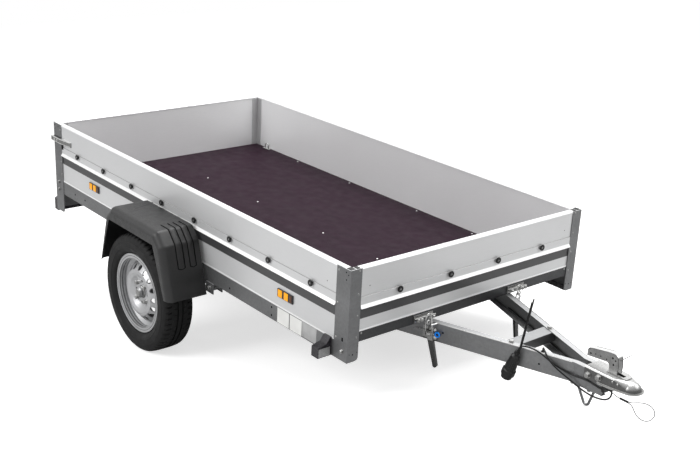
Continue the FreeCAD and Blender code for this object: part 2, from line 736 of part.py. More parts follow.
front_post = new_body("FrontPost")
front_post_plan = [
    (s.bed_length - s.front_post_side, -half_width), (s.bed_length, -half_width),
    (s.bed_length, s.front_post_front - half_width),
    (front_face, s.front_post_front - half_width), (front_face, -board_face),
    (s.bed_length - s.front_post_side, -board_face)]
add_pad(front_post, "XY", [front_post_plan], s.front_post_foot, s.top_level)
front_post_back = s.bed_length - s.front_post_side
round_corner(front_post, "XZ", front_post_back, s.front_post_foot, 1, -half_width, -board_face)
round_corner(front_post, "YZ", s.front_post_front - half_width, s.front_post_foot, -1,
             front_face, s.bed_length)

rear_post = new_body("RearPost")
rear_post_plan = [
    (0, -half_width), (s.rear_post_side, -half_width), (s.rear_post_side, -board_face),
    (s.post_wall, -board_face), (s.post_wall, s.rear_post_back - half_width),
    (0, s.rear_post_back - half_width)]
add_pad(rear_post, "XY", [rear_post_plan], s.rear_post_foot, s.top_level)
round_corner(rear_post, "XZ", s.rear_post_side, s.rear_post_foot, -1, -half_width, -board_face)
round_corner(rear_post, "YZ", s.rear_post_back - half_width, s.rear_post_foot, -1, 0,
             s.post_wall)

# Inner corner angles at the rear: one leg on the side board, one as the tailgate's stop.
angle_plan = [
    (stop_x, -board_inside), (stop_x + s.corner_angle_leg, -board_inside),
    (stop_x + s.corner_angle_leg, s.corner_angle_wall - board_inside),
    (stop_x + s.corner_angle_wall, s.corner_angle_wall - board_inside),
    (stop_x + s.corner_angle_wall, s.corner_angle_leg - board_inside),
    (stop_x, s.corner_angle_leg - board_inside)]
corner_angle = prism("CornerAngle", "XY", [angle_plan], s.floor_level,
                     s.top_level - s.cap_height - 1)
keep("corner_posts", group("CornerPosts",
                           both(front_post) + both(rear_post) + both(corner_angle)))

# Floor
floor = prism("Floor", "XY", [box(stop_x, s.edge_gap - board_inside, front_face - s.rail_wall,
                                  board_inside - s.edge_gap)], floor_under, s.floor_level)
keep("floor_panel", floor)

# Frame rails and cross members, folded from sheet
rail_section = [
    (-board_face, s.rail_foot), (s.rail_foot_flange - board_face, s.rail_foot),
    (s.rail_foot_flange - board_face, s.rail_foot + s.rail_wall),
    (s.rail_wall - board_face, s.rail_foot + s.rail_wall),
    (s.rail_wall - board_face, rail_top - s.rail_wall),
    (s.rail_top_flange - board_face, rail_top - s.rail_wall),
    (s.rail_top_flange - board_face, rail_top), (-board_face, rail_top)]
side_rail = prism("SideRail", "YZ", [rail_section], s.post_wall, front_face)
keep("side_rails", group("SideRails", both(side_rail)))

front_rail_section = [
    (front_face, s.front_rail_foot), (front_face, s.front_board_foot),
    (front_face - s.board_thickness, s.front_board_foot),
    (front_face - s.board_thickness, s.front_board_foot - s.rail_wall),
    (front_face - s.rail_wall, s.front_board_foot - s.rail_wall),
    (front_face - s.rail_wall, s.front_rail_foot + s.rail_wall),
    (front_face - s.front_rail_shelf, s.front_rail_foot + s.rail_wall),
    (front_face - s.front_rail_shelf, s.front_rail_foot)]
front_rail_half = board_inside - s.shelf_width
front_rail = prism("FrontRail", "XZ", [front_rail_section], -front_rail_half, front_rail_half)


def channel(back, foot, top, width, wall):
    """Section of a channel that opens forward, in X and Z."""
    return [(back, foot), (back + width, foot), (back + width, foot + wall),
            (back + wall, foot + wall), (back + wall, top - wall),
            (back + width, top - wall), (back + width, top), (back, top)]


members = []
for number, back in enumerate((s.member_1, s.member_2, s.member_3), start=1):
    section = channel(back, s.rail_foot, floor_under, s.member_width, s.rail_wall)
    members.append(prism("Member%d" % number, "XZ", [section], -member_half, member_half))
# The fourth opens to the rear, so that its web carries the tilt brackets.
member_back = s.bed_length - s.member_4_inset
member_front = member_back + s.member_width
last_section = [
    (member_front, s.rail_foot), (member_front, floor_under), (member_back, floor_under),
    (member_back, floor_under - s.rail_wall),
    (member_front - s.rail_wall, floor_under - s.rail_wall),
    (member_front - s.rail_wall, s.rail_foot + s.rail_wall),
    (member_back, s.rail_foot + s.rail_wall), (member_back, s.rail_foot)]
members.append(prism("Member4", "XZ", [last_section], -member_half, member_half))

sill_back = s.post_wall + 1
sill = prism("RearSill", "XZ", [channel(sill_back, s.rail_foot, rail_top - s.rail_wall,
                                        s.sill_depth, s.rail_wall)],
             -member_half, member_half)
keep("cross_members", group("CrossMembers", members + [front_rail, sill]))
lamp_beam_section = [
    (s.post_wall, s.lamp_beam_foot), (2 * s.post_wall, s.lamp_beam_foot),
    (2 * s.post_wall, s.rail_foot - s.rail_wall),
    (sill_back + s.sill_depth, s.rail_foot - s.rail_wall),
    (sill_back + s.sill_depth, s.rail_foot), (s.post_wall, s.rail_foot)]
keep("lamp_beam", prism("LampBeam", "XZ", [lamp_beam_section], -board_face, board_face))

# Axle: a square tube with turned spindles and spring seats
half_square = s.axle_square / 2
hub_back = wheel_face - s.hub_flange - s.hub_length
axle_half = hub_back - s.axle_collar
axle_tube = prism("AxleTube", "XZ", [
    box(s.axle_x - half_square, -half_square, s.axle_x + half_square, half_square),
    box(s.axle_x - half_square + s.axle_wall, s.axle_wall - half_square,
        s.axle_x + half_square - s.axle_wall, half_square - s.axle_wall)],
    -axle_half, axle_half)
spindle_root = s.axle_overlap - axle_half
spindle_end = s.spindle_end_gap - wheel_face
collar_end = 1 - hub_back
spindle = new_body("Spindle")
turned(spindle, [
    (0, spindle_root), (0, spindle_end), (s.spindle_radius, spindle_end),
    (s.spindle_radius, collar_end), (s.spindle_shoulder, collar_end),
    (s.spindle_shoulder, spindle_root)], s.axle_x)
spring_top = half_square + s.spring_seat
seat_half = half_square + s.spring_seat_margin
seat = prism("SpringSeat", "XY", [box(s.axle_x - seat_half, -spring_y - s.spring_width / 2,
                                      s.axle_x + seat_half, s.spring_width / 2 - spring_y)],
             half_square, spring_top)
keep("axle_beam", fuse("Axle", [axle_tube] + both(spindle) + both(seat)))

# Leaf springs: three leaves clamped to one pack, rolled to an eye at the front
main_radius = (s.spring_half * s.spring_half + s.spring_camber * s.spring_camber) \
    / (2 * s.spring_camber)
pack_top = spring_top + 3 * s.leaf_thickness


def leaf_rise(half, layer):
    """Height of the surface that many leaves below the main leaf's top, at half its length."""
    radius = main_radius.value + layer * s.leaf_thickness.value
    drop = layer * s.leaf_thickness.value
    reach = half.value
    level = pack_top.value - drop + radius - math.sqrt(radius * radius - reach * reach)
    text = "(%s - %s + %s - sqrt(%s * %s - %s * %s))" % (
        pack_top.text, Size.of(drop).text, Size.of(radius).text, Size.of(radius).text,
        Size.of(radius).text, half.text, half.text)
    return Size(level, text)


def layer_radius(layer):
    return main_radius + layer * s.leaf_thickness


right_side = []
for layer, reach in enumerate((s.spring_half, s.leaf_two_half, s.leaf_three_half)):
    right_side.append((s.axle_x + reach, leaf_rise(reach, layer)))
    right_side.append((s.axle_x + reach, leaf_rise(reach, layer + 1)))
left_side = [(2 * s.axle_x - x, z) for x, z in reversed(right_side)]


def spring_outline():
    """Steps down the right side, along the bottom arc, up the left side and over the top."""
    corners = []
    for i, (x, z) in enumerate(right_side):
        if i % 2 == 1 and i + 1 < len(right_side):
            corners.append((x, z, -layer_radius((i + 1) // 2)))
        else:
            corners.append((x, z))
    x, z = right_side[-1]
    corners[-1] = (x, z, -layer_radius(3))
    for i, (x, z) in enumerate(left_side):
        if i % 2 == 1 and i + 1 < len(left_side):
            corners.append((x, z, -layer_radius(3 - (i + 1) // 2)))
        else:
            corners.append((x, z))
    x, z = left_side[-1]
    corners[-1] = (x, z, layer_radius(0))
    return corners


spring_in = s.spring_width / 2 - spring_y
spring_out = -spring_y - s.spring_width / 2
leaves = prism("Leaves", "XZ", [spring_outline()], spring_out, spring_in)
eye_x = s.axle_x + s.spring_half
eye_z = pack_top + s.spring_camber + s.eye_radius
eye = prism("SpringEye", "XZ", [(eye_x, eye_z, s.eye_radius + s.leaf_thickness),
                                (eye_x, eye_z, s.eye_radius)], spring_out, spring_in)
eye_space = cylinder_y("EyeSpace", eye_x, eye_z, s.eye_radius, spring_out, spring_in)
spring_blank = fuse("SpringBlank", [leaves, eye])
spring = cut("Spring", spring_blank, eye_space)
keep("leaf_springs", group("LeafSprings", both(spring)))

# Spring hangers under the rails
ear_in = spring_in + s.hanger_side_gap
ear_out = spring_out - s.hanger_side_gap
slipper_reach = s.spring_half - s.slipper_inset
rear_pin_z = leaf_rise(slipper_reach, 1) - s.hanger_pin_radius - s.edge_gap
spring_mounts = []
for name, x, pin_z in (("FrontHanger", eye_x, eye_z),
                       ("RearHanger", s.axle_x - slipper_reach, rear_pin_z)):
    back = x - s.hanger_width / 2
    front = x + s.hanger_width / 2
    foot = pin_z - s.hanger_drop
    ears = [box(ear_in, foot, ear_in + s.hanger_wall, s.rail_foot),
            box(ear_out - s.hanger_wall, foot, ear_out, s.rail_foot)]
    bridge = [box(ear_out - s.hanger_wall, s.rail_foot - s.hanger_wall,
                  ear_in + s.hanger_wall, s.rail_foot)]
    bracket = prism(name + "Ears", "YZ", ears, back, front)
    top = prism(name + "Top", "YZ", bridge, back, front)
    pin = cylinder_y(name + "Pin", x, pin_z, s.hanger_pin_radius,
                     ear_out - s.hanger_wall, ear_in + s.hanger_wall)
    spring_mounts += both(fuse(name, [bracket, top, pin]))

# U-bolts that clamp each spring on the axle, with a plate below
clamp_reach = half_square + s.clamp_bar_radius + s.clamp_axle_gap
plate_reach = clamp_reach + s.clamp_plate_margin
clamp_foot = -half_square - s.clamp_tail
bar_top = pack_top + s.clamp_gap + s.clamp_bar_radius
bar_out = spring_out - s.clamp_bar_radius - s.clamp_gap
bar_in = spring_in + s.clamp_bar_radius + s.clamp_gap
clamp_parts = [prism("ClampPlate", "XY", [box(s.axle_x - plate_reach,
                                              spring_out - s.clamp_plate_margin,
                                              s.axle_x + plate_reach,
                                              spring_in + s.clamp_plate_margin)],
                     -half_square - s.clamp_plate, -half_square)]
for i, x in enumerate((s.axle_x - clamp_reach, s.axle_x + clamp_reach)):
    for j, y in enumerate((bar_out, bar_in)):
        clamp_parts.append(upright("ClampBar%d%d" % (i, j), x, y, s.clamp_bar_radius,
                                   clamp_foot, bar_top))
    clamp_parts.append(cylinder_y("ClampTop%d" % i, x, bar_top, s.clamp_bar_radius,
                                  bar_out - s.clamp_bar_radius, bar_in + s.clamp_bar_radius))
spring_mounts += both(fuse("SpringClamp", clamp_parts))
keep("spring_mounts", group("SpringMounts", spring_mounts))

# Wheels
half_inside = s.rim_inside_width / 2


def y_of(out):
    """World y of a point of the right wheel that lies this far outside its middle plane."""
    return -wheel_y - out


rim_radius = s.rim_seat_radius + s.rim_flange_height
half_tyre = s.tyre_width / 2
half_tread = s.tread_width / 2
bead = s.rim_seat_radius + s.tyre_gap
side_radius = s.tyre_radius - s.shoulder_radius
bead_shoulder = rim_radius + s.tyre_rim_gap
belly = side_radius - s.tyre_belly
shoulder_half = half_tyre - s.shoulder_ease
tread_edge = half_tread - s.tread_ease
tyre = new_body("Tyre")
turned(tyre, [
    (bead, y_of(-half_inside + s.tyre_gap)), (bead, y_of(half_inside - s.tyre_gap)),
    (bead_shoulder, y_of(half_inside - s.tyre_gap), s.sidewall_round),
    (belly, y_of(half_tyre)), (side_radius, y_of(shoulder_half), s.tread_round),
    (s.tyre_radius, y_of(tread_edge)), (s.tyre_radius, y_of(-tread_edge), s.tread_round),
    (side_radius, y_of(-shoulder_half)), (belly, y_of(-half_tyre), s.sidewall_round),
    (bead_shoulder, y_of(s.tyre_gap - half_inside))], s.axle_x)
keep("tyre_right", tyre)
keep("tyre_left", mirror("TyreLeft", tyre))

# The rim: flange, seat and drop centre, welded to the disc in one revolved section
t = s.rim_sheet
seat_in = s.rim_seat_radius - t
well = s.rim_seat_radius - s.rim_drop
well_in = well - t
well_half = half_inside - s.well_inset
well_edge = well_half + s.well_ease
well_edge_in = well_edge + s.well_ease
rim = new_body("Rim")
turned(rim, [
    (rim_radius, y_of(half_inside)), (rim_radius, y_of(half_inside + t)),
    (seat_in, y_of(half_inside + t)), (seat_in, y_of(well_edge_in)),
    (well_in, y_of(well_edge_in - s.well_slope)), (well_in, y_of(s.well_slope - well_edge_in)),
    (seat_in, y_of(-well_edge_in)), (seat_in, y_of(-half_inside - t)),
    (rim_radius, y_of(-half_inside - t)), (rim_radius, y_of(-half_inside)),
    (s.rim_seat_radius, y_of(-half_inside)), (s.rim_seat_radius, y_of(-well_edge)),
    (well, y_of(s.well_slope - well_edge)), (well, y_of(well_edge - s.well_slope)),
    (s.rim_seat_radius, y_of(well_edge)), (s.rim_seat_radius, y_of(half_inside))], s.axle_x)

# The disc: a flat bowl, a raised crown and a slope with the vent holes out to the rim
face = s.wheel_offset
d = s.disc_sheet
crown = face + s.crown_out
crown_radius = s.rim_seat_radius * s.crown_share
bowl = crown_radius * s.bowl_share
seam = well_half - s.well_slope
ease = s.crown_ease
outer_ease = ease + d / 2
turned(rim, [
    (s.centre_bore, y_of(face)), (bowl, y_of(face)),
    (crown_radius - ease, y_of(crown - s.crown_fall)),
    (crown_radius, y_of(crown)), (crown_radius + ease, y_of(crown - s.crown_fall / 2)),
    (well_in - s.disc_edge, y_of(seam + s.disc_weld_length + s.disc_edge / 2)),
    (well_in - s.disc_weld, y_of(seam)), (well_in + s.disc_weld, y_of(seam)),
    (well_in + s.disc_weld, y_of(seam + s.disc_weld_length)),
    (well_in - s.disc_edge / 2,
     y_of(seam + s.disc_weld_length + s.disc_edge - s.disc_weld * 2)),
    (crown_radius + outer_ease, y_of(crown + d - s.crown_fall / 2)),
    (crown_radius, y_of(crown + d)),
    (crown_radius - outer_ease, y_of(crown + d - s.crown_fall)), (bowl - d / 2, y_of(face + d)),
    (s.centre_bore, y_of(face + d))], s.axle_x)
vent_sketch = new_sketch(rim, "XZ", wheel_y)
draw_circle(vent_sketch, s.axle_x + s.rim_seat_radius * s.vent_circle_share, 0, s.vent_radius)
vent = rim.newObject("PartDesign::Pocket", "Vent")
vent.Profile = vent_sketch
vent.Reversed = True
bind(vent, "Length", s.tyre_width)
doc.recompute()
axis_sketch = new_sketch(rim, "XY", 0, s.axle_x)
axis_sketch.addGeometry(Part.LineSegment(Vector(0, 0, 0), Vector(0, 10, 0)), True)
vents = rim.newObject("PartDesign::PolarPattern", "Vents")
vents.Originals = [vent]
vents.Axis = (axis_sketch, ["V_Axis"])
vents.Angle = 360
bind(vents, "Occurrences", s.vent_count)
rim.Tip = vents
bolt_sketch = new_sketch(rim, "XZ", wheel_y)
draw_circle(bolt_sketch, s.axle_x + s.bolt_circle, 0, s.bolt_hole_radius)
bolt_hole = rim.newObject("PartDesign::Pocket", "BoltHole")
bolt_hole.Profile = bolt_sketch
bolt_hole.Reversed = True
bind(bolt_hole, "Length", s.tyre_width)
doc.recompute()
bolt_holes = rim.newObject("PartDesign::PolarPattern", "BoltHoles")
bolt_holes.Originals = [bolt_hole]
bolt_holes.Axis = (axis_sketch, ["V_Axis"])
bolt_holes.Angle = 360
bolt_holes.Occurrences = 4
rim.Tip = bolt_holes
keep("rim_right", rim)
keep("rim_left", mirror("RimLeft", rim))

# Hub with its grease cap, turning on the spindle
bore = s.spindle_radius + s.running_fit
cap_end = face + s.cap_length
hub = new_body("Hub")
turned(hub, [
    (bore, -hub_back), (bore, y_of(face)), (0, y_of(face)), (0, y_of(cap_end)),
    (s.cap_radius - s.cap_edge, y_of(cap_end)), (s.cap_radius, y_of(cap_end - s.cap_edge)),
    (s.cap_radius, y_of(face)), (s.hub_flange_radius, y_of(face)),
    (s.hub_flange_radius, y_of(face - s.hub_flange)), (s.hub_radius, y_of(face - s.hub_flange)),
    (s.hub_radius, -hub_back)], s.axle_x)
keep("hub_right", hub)
keep("hub_left", mirror("HubLeft", hub))


# Mudguards: one moulded shell each, open below and towards the wheel
guard_mid = s.axle_x + s.guard_ahead


def guard_outline(inset):
    """Side outline of the mudguard, drawn in by an inset."""
    return [
        (guard_mid - s.guard_foot_half + inset, s.guard_foot),
        (guard_mid + s.guard_foot_half - inset, s.guard_foot),
        (guard_mid + s.guard_shoulder_half - inset, s.guard_shoulder - inset / 2),
        (guard_mid + s.guard_top_half - inset / 2, s.guard_top - inset),
        (guard_mid - s.guard_top_half + inset / 2, s.guard_top - inset),
        (guard_mid - s.guard_shoulder_half + inset, s.guard_shoulder - inset / 2)]


def guard_solid(name, inset, outer):
    """The guard's outer form or its hollow, with rounded bends and a rounder outer edge."""
    body = new_body(name)
    pad = add_pad(body, "XZ", [guard_outline(inset)], outer, -guard_in)
    middle = (outer.value - guard_in.value) / 2
    above_foot = s.guard_foot.value + 1
    bends = round_edges(body, pad, lambda at: at.z > above_foot
                        and abs(at.y - middle) < 1, s.guard_bend - inset)
    round_edges(body, bends, lambda at: at.z > above_foot
                and abs(at.y - outer.value) < 1, s.guard_round - inset)
    return body


guard_out = -guard_in - s.guard_width
guard_shell = cut("GuardShell", guard_solid("GuardForm", Size.of(0), guard_out),
                  guard_solid("GuardHollow", s.guard_sheet, guard_out + s.guard_sheet))
opening_top = s.guard_top - s.guard_skirt
below_guard = s.guard_foot - 1
arch = prism("GuardArch", "XZ", [[
    (guard_mid - s.guard_foot_half + s.guard_leg / 2, below_guard),
    (guard_mid + s.guard_foot_half - s.guard_leg, below_guard),
    (guard_mid + s.guard_shoulder_half - s.guard_leg * 1.6, opening_top),
    (guard_mid - s.guard_shoulder_half + s.guard_leg, opening_top)]],
    guard_out - 1, guard_out + s.guard_round)
keep("mudguards", group("Mudguards", both(cut("GuardCut", guard_shell, arch))))

# Mudguard brackets: flat bars from the side rail out under the guard's top
stay_in = board_face + s.ledge_out + 2 * s.edge_gap
stay_foot = s.rail_foot + s.stay_rise
stay_bend = rail_top - s.stay_rise
stay_top = s.guard_top - s.guard_sheet - s.edge_gap
stay_reach = guard_in + s.guard_width / 2
stay_profile = [
    (-board_face, stay_foot), (-board_face, stay_bend), (-stay_in, stay_bend),
    (-stay_in, stay_top), (-stay_reach, stay_top), (-stay_reach, stay_top - s.stay_wall),
    (-stay_in - s.stay_wall, stay_top - s.stay_wall), (-stay_in - s.stay_wall, stay_foot)]
stays = []
for number, x in enumerate((guard_mid - s.stay_spacing / 2, guard_mid + s.stay_spacing / 2)):
    stays += both(prism("GuardStay%d" % number, "YZ", [stay_profile],
                        x - s.stay_width / 2, x + s.stay_width / 2))
keep("mudguard_brackets", group("MudguardBrackets", stays))

# Tilt brackets on the fourth cross member, each with its pivot bolt
pivot_z = s.arm_top - s.arm_height / 2
bush_mid = -s.pivot_y + s.arm_wall + s.bush_inset
bush_in = bush_mid + s.pivot_bush_length / 2
bush_out = bush_mid - s.pivot_bush_length / 2
ear_profile = [
    (member_front, pivot_z - s.ear_half), (pivot_x, pivot_z - s.ear_radius, s.ear_radius),
    (pivot_x, pivot_z + s.ear_radius), (member_front, pivot_z + s.ear_half)]
tilt_parts = []
for name, low, high in (
        ("TiltEarOut", bush_out - s.pivot_gap - s.ear_wall, bush_out - s.pivot_gap),
        ("TiltEarIn", bush_in + s.pivot_gap, bush_in + s.pivot_gap + s.ear_wall)):
    tilt_parts.append(prism(name, "XZ", [ear_profile], low, high))
tilt_parts.append(cylinder_y("TiltBolt", pivot_x, pivot_z, s.pivot_bolt,
                             bush_out - s.pivot_gap - s.ear_wall - s.ear_margin,
                             bush_in + s.pivot_gap + s.ear_wall + s.ear_margin))
tilt_bracket = fuse("TiltBracket", tilt_parts)
keep("tilt_brackets", group("TiltBrackets", both(tilt_bracket)))

# Drawbar arms: channels that open inward, straight to a bend, then parallel in the coupling
arm_bend = ball_x - s.arm_bend_inset
arm_nose = ball_x - s.arm_nose_inset
slope = (s.pivot_y - s.arm_nose_y) / (arm_bend - pivot_x)
arm_foot = s.arm_top - s.arm_height
arm_rear = pivot_x - s.arm_height / 2 - s.arm_tail


def arm_y(x):
    """Outer face of the right arm behind its bend."""
    return -s.pivot_y + (x - pivot_x) * slope


def strip(width, nose_width):
    """Plan of a strip along the inside of the arm's outer face."""
    return [
        (arm_rear, arm_y(arm_rear)), (arm_bend, -s.arm_nose_y),
        (arm_nose, -s.arm_nose_y), (arm_nose, nose_width - s.arm_nose_y),
        (arm_bend, nose_width - s.arm_nose_y), (arm_rear, arm_y(arm_rear) + width)]


arm_body = new_body("Arm")
add_pad(arm_body, "XY", [strip(s.arm_wall * 1.06, s.arm_wall)], arm_foot, s.arm_top)
for low in (arm_foot, s.arm_top - s.arm_wall):
    add_pad(arm_body, "XY", [strip(s.arm_flange, s.arm_nose_flange)], low, low + s.arm_wall)
arm_radius = s.arm_height / 2
arm_side = prism("ArmSide", "XZ", [[
    (pivot_x, arm_foot), (arm_nose + 1, arm_foot), (arm_nose + 1, s.arm_top),
    (pivot_x, s.arm_top, arm_radius)]], -half_width, 0)
arm_round = common("ArmRound", [arm_body, arm_side])
bush = cylinder_y("Bush", pivot_x, pivot_z, s.pivot_bush, bush_out, bush_in)
arm_blank = fuse("ArmBlank", [arm_round, bush])
bush_bore = cylinder_y("BushBore", pivot_x, pivot_z, s.pivot_bolt + s.running_fit,
                       bush_out - 1, bush_in + 1)
keep("drawbar_arms", group("DrawbarArms", both(cut("DrawbarArm", arm_blank, bush_bore))))

# Brace between the arms, under their top flanges
brace_top = s.arm_top - s.arm_wall
brace_back = ball_x - s.brace_inset
brace_front = brace_back + s.brace_width
brace_foot = brace_top - s.brace_height


def brace_y(x):
    """Inner face of the left arm."""
    return -(arm_y(x) + s.arm_wall * 1.06)


brace = prism("Brace", "XY", [[
    (brace_back, -brace_y(brace_back)), (brace_front, -brace_y(brace_front)),
    (brace_front, brace_y(brace_front)), (brace_back, brace_y(brace_back))]],
    brace_foot, brace_top)
add_pocket(brace, "XZ", [box(brace_back + s.arm_wall, brace_foot - 1,
                             brace_front - s.arm_wall, brace_top - s.arm_wall)],
           -half_width, half_width)
keep("drawbar_brace", brace)

# Coupling: pressed shell over the arms, drawn in to a domed head around the ball socket
side_out = s.arm_nose_y + s.edge_gap + s.coupling_wall
coupling_rear = ball_x - s.coupling_length
neck = ball_x - s.neck_inset
edge_slope = s.coupling_rise / s.coupling_length


def coupling_edge(x):
    """Lower edge of the coupling's sides, which rises to the front."""
    return s.coupling_foot + (x - coupling_rear) * edge_slope


def hood(half, top, corner, foot):
    """Cross section of the coupling with rounded upper edges, in Y and Z."""
    return [(-half, foot), (half, foot), (half, top - corner, corner),
            (half - corner, top), (corner - half, top, corner), (-half, top - corner)]


def hood_solid(name, inset, foot):
    """A hood of constant section that narrows to the width of the domed head."""
    half = side_out - inset
    top = s.coupling_top - inset
    end_half = s.head_radius - inset
    body = prism(name, "YZ", [hood(half, top, s.coupling_round - inset, foot)],
                 coupling_rear, neck)
    wide = new_sketch(body, "YZ", neck)
    draw_outline(wide, hood(half, top, s.coupling_round - inset, foot))
    narrow = new_sketch(body, "YZ", ball_x)
    draw_outline(narrow, hood(end_half, top, end_half - s.edge_gap, foot))
    loft = body.newObject("PartDesign::AdditiveLoft", name + "Neck")
    loft.Profile = wide
    loft.Sections = [narrow]
    loft.Ruled = True
    return body


def ball(name, radius, level):
    """A sphere on the axis of the ball socket."""
    item = doc.addObject("Part::Sphere", name)
    bind(item, "Radius", radius)
    bind(item, "Placement.Base.x", ball_x)
    bind(item, "Placement.Base.z", level)
    return item


edge_front = coupling_edge(ball_x + s.head_radius + s.lip_out)
nose_end = ball_x + s.head_radius + s.lip_out
below_coupling = s.coupling_foot - s.coupling_wall
dome_level = s.coupling_top - s.head_radius
hood_form = fuse("HoodForm", [
    hood_solid("Hood", Size.of(0), below_coupling), ball("Dome", s.head_radius, dome_level),
    upright("DomeSide", ball_x, Size.of(0), s.head_radius, below_coupling, dome_level)])
above_edge = prism("AboveEdge", "XZ", [[
    (coupling_rear, s.coupling_foot), (nose_end, edge_front),
    (nose_end, s.coupling_top + 1), (coupling_rear, s.coupling_top + 1)]],
    -half_width, half_width)
lip_rear = ball_x - s.lip_length
lip_half = side_out + s.lip_out
lip_head = s.head_radius + s.lip_out
lip_plan = prism("LipPlan", "XY", [[
    (lip_rear, -side_out), (lip_rear + s.lip_out, -lip_half), (neck, -lip_half),
    (ball_x, -lip_head, lip_head), (ball_x, lip_head), (neck, lip_half),
    (lip_rear + s.lip_out, lip_half), (lip_rear, side_out)]], below_coupling, s.coupling_top)
lip_band = prism("LipBand", "XZ", [[
    (lip_rear, coupling_edge(lip_rear)), (nose_end, edge_front),
    (nose_end, edge_front + s.coupling_wall),
    (lip_rear, coupling_edge(lip_rear) + s.coupling_wall)]], -half_width, half_width)
raised_frame = prism("RaisedFrame", "XY", [box(
    ball_x - s.frame_rear, -s.frame_half, ball_x - s.frame_front, s.frame_half)],
    s.coupling_top - s.coupling_wall, s.coupling_top + s.frame_height)
coupling_form = fuse("CouplingForm", [
    common("HoodAbove", [hood_form, above_edge]), common("Lip", [lip_plan, lip_band]),
    raised_frame])
# The hollow ends behind the socket, which is bored into the solid head.
head_rear = ball_x - s.socket_radius - s.coupling_wall
hollow = common("CouplingHollow", [
    hood_solid("HoodSpace", s.coupling_wall, below_coupling),
    prism("BehindHead", "XZ", [box(coupling_rear, below_coupling, head_rear,
                                   s.coupling_top)], -half_width, half_width)])
slot = prism("FrameSlot", "XY", [box(ball_x - s.slot_rear, -s.slot_half,
                                     ball_x - s.slot_front, s.slot_half)],
             s.coupling_top - 2 * s.coupling_wall, s.coupling_top + 2 * s.frame_height)
coupling = coupling_form
for name, space in (
        ("CouplingShell", hollow), ("CouplingSlotted", slot),
        ("CouplingBored", upright("SocketHole", ball_x, Size.of(0), s.socket_radius,
                                  s.ball_level - s.socket_radius, s.ball_level)),
        ("Coupling", ball("SocketBall", s.socket_radius, s.ball_level))):
    coupling = cut(name, coupling, space)
keep("coupling_body", coupling)

# Handle of the coupling: a pressed channel that lies back over the arms
handle_foot = s.coupling_top + s.frame_height + s.edge_gap
knee_top = handle_foot + s.handle_knee
grip_top = knee_top - s.handle_drop
leg_rear = ball_x - s.handle_leg_rear
leg_front = ball_x - s.handle_leg_front
handle_rear = ball_x - s.handle_rear
underside = handle_foot + s.handle_grip
knee = leg_front - s.handle_shoulder
shoulder = leg_front - 2 * s.handle_lean
shoulder_top = knee_top - s.handle_shoulder_drop
end_top = grip_top - s.handle_end
finger_foot = underside - s.handle_end


handle = prism("Handle", "XZ", [[
    (leg_rear, handle_foot), (leg_front, handle_foot), (leg_front + s.handle_lean, underside),
    (shoulder, shoulder_top, s.handle_shoulder), (knee, knee_top),
    (handle_rear + s.handle_end_flat, grip_top, s.handle_end),
    (handle_rear, end_top), (handle_rear, underside - s.handle_lip),
    (handle_rear + s.handle_lip_length, underside + s.handle_lip_rise - s.handle_lip),
    (leg_rear - s.handle_finger, underside, -s.handle_end),
    (leg_rear, finger_foot)]], -s.handle_half, s.handle_half)
handle_hollow = prism("HandleHollow", "XZ", [[
    (leg_rear - 1, handle_foot - 1), (leg_front - s.handle_wall, handle_foot - 1),
    (leg_front + s.handle_lean - s.handle_wall, underside),
    (shoulder - s.handle_wall, shoulder_top, s.handle_shoulder - s.handle_wall),
    (knee, knee_top - s.handle_wall), (handle_rear + s.handle_end_flat, grip_top - s.handle_wall),
    (handle_rear + s.handle_wall, end_top),
    (handle_rear + s.handle_wall, underside - s.handle_lip - s.edge_gap),
    (leg_rear - s.edge_gap, finger_foot)]],
    s.handle_wall - s.handle_half, s.handle_half - s.handle_wall)
handle_shell = cut("HandleShell", handle, handle_hollow)
rod_start = Vector(leg_front.value - 6, 0, knee_top.value - 26)
rod_way = Vector(46, 0, 42)
rod = doc.addObject("Part::Cylinder", "HandleRod")
bind(rod, "Radius", s.handle_rod)
rod.Height = rod_way.Length
rod.Placement = FreeCAD.Placement(rod_start, FreeCAD.Rotation(Vector(0, 0, 1), rod_way))
keep("coupling_handle", fuse("CouplingHandle", [handle_shell, rod]))

# Wire foot below the nose, with its plate under the arms
plate_foot = arm_foot - s.foot_plate
foot_x = ball_x - s.foot_inset
foot_plate_half = s.arm_nose_y - s.foot_plate_inset
foot_plate = prism("FootPlate", "XY", [box(foot_x - s.foot_back - s.foot_plate_margin,
                                           -foot_plate_half,
                                           foot_x + s.foot_front + s.foot_plate_margin,
                                           foot_plate_half)],
                   plate_foot, arm_foot)


def rounded_path(points, radii):
    """Straight runs through the points, joined by tangent arcs of the given radii."""
    edges = []
    start = points[0]
    for i in range(1, len(points) - 1):
        back = (points[i - 1] - points[i]).normalize()
        ahead = (points[i + 1] - points[i]).normalize()
        turn_half = (math.pi - back.getAngle(ahead)) / 2
        reach = radii[i - 1] * math.tan(turn_half)
        enter = points[i] + back * reach
        leave = points[i] + ahead * reach
        inward = (back + ahead).normalize()
        centre = points[i] + inward * (radii[i - 1] / math.cos(turn_half))
        middle = centre - inward * radii[i - 1]
        edges.append(Part.LineSegment(start, enter).toShape())
        edges.append(Part.Arc(enter, middle, leave).toShape())
        start = leave
    edges.append(Part.LineSegment(start, points[-1]).toShape())
    return Part.Wire(edges)


def round_bar(path, radius):
    """A solid bar of circular section swept along a path."""
    first = path.Edges[0]
    start = first.valueAt(first.FirstParameter)
    circle = Part.Circle(start, first.tangentAt(first.FirstParameter), radius)
    return path.makePipeShell([Part.Wire([circle.toShape()])], True, True)


def shaped(name, shape):
    item = doc.addObject("Part::Feature", name)
    item.Shape = shape
    return item


foot_centre = Vector(foot_x.value, 0, (s.foot_level + s.foot_bar + s.foot_bend).value)


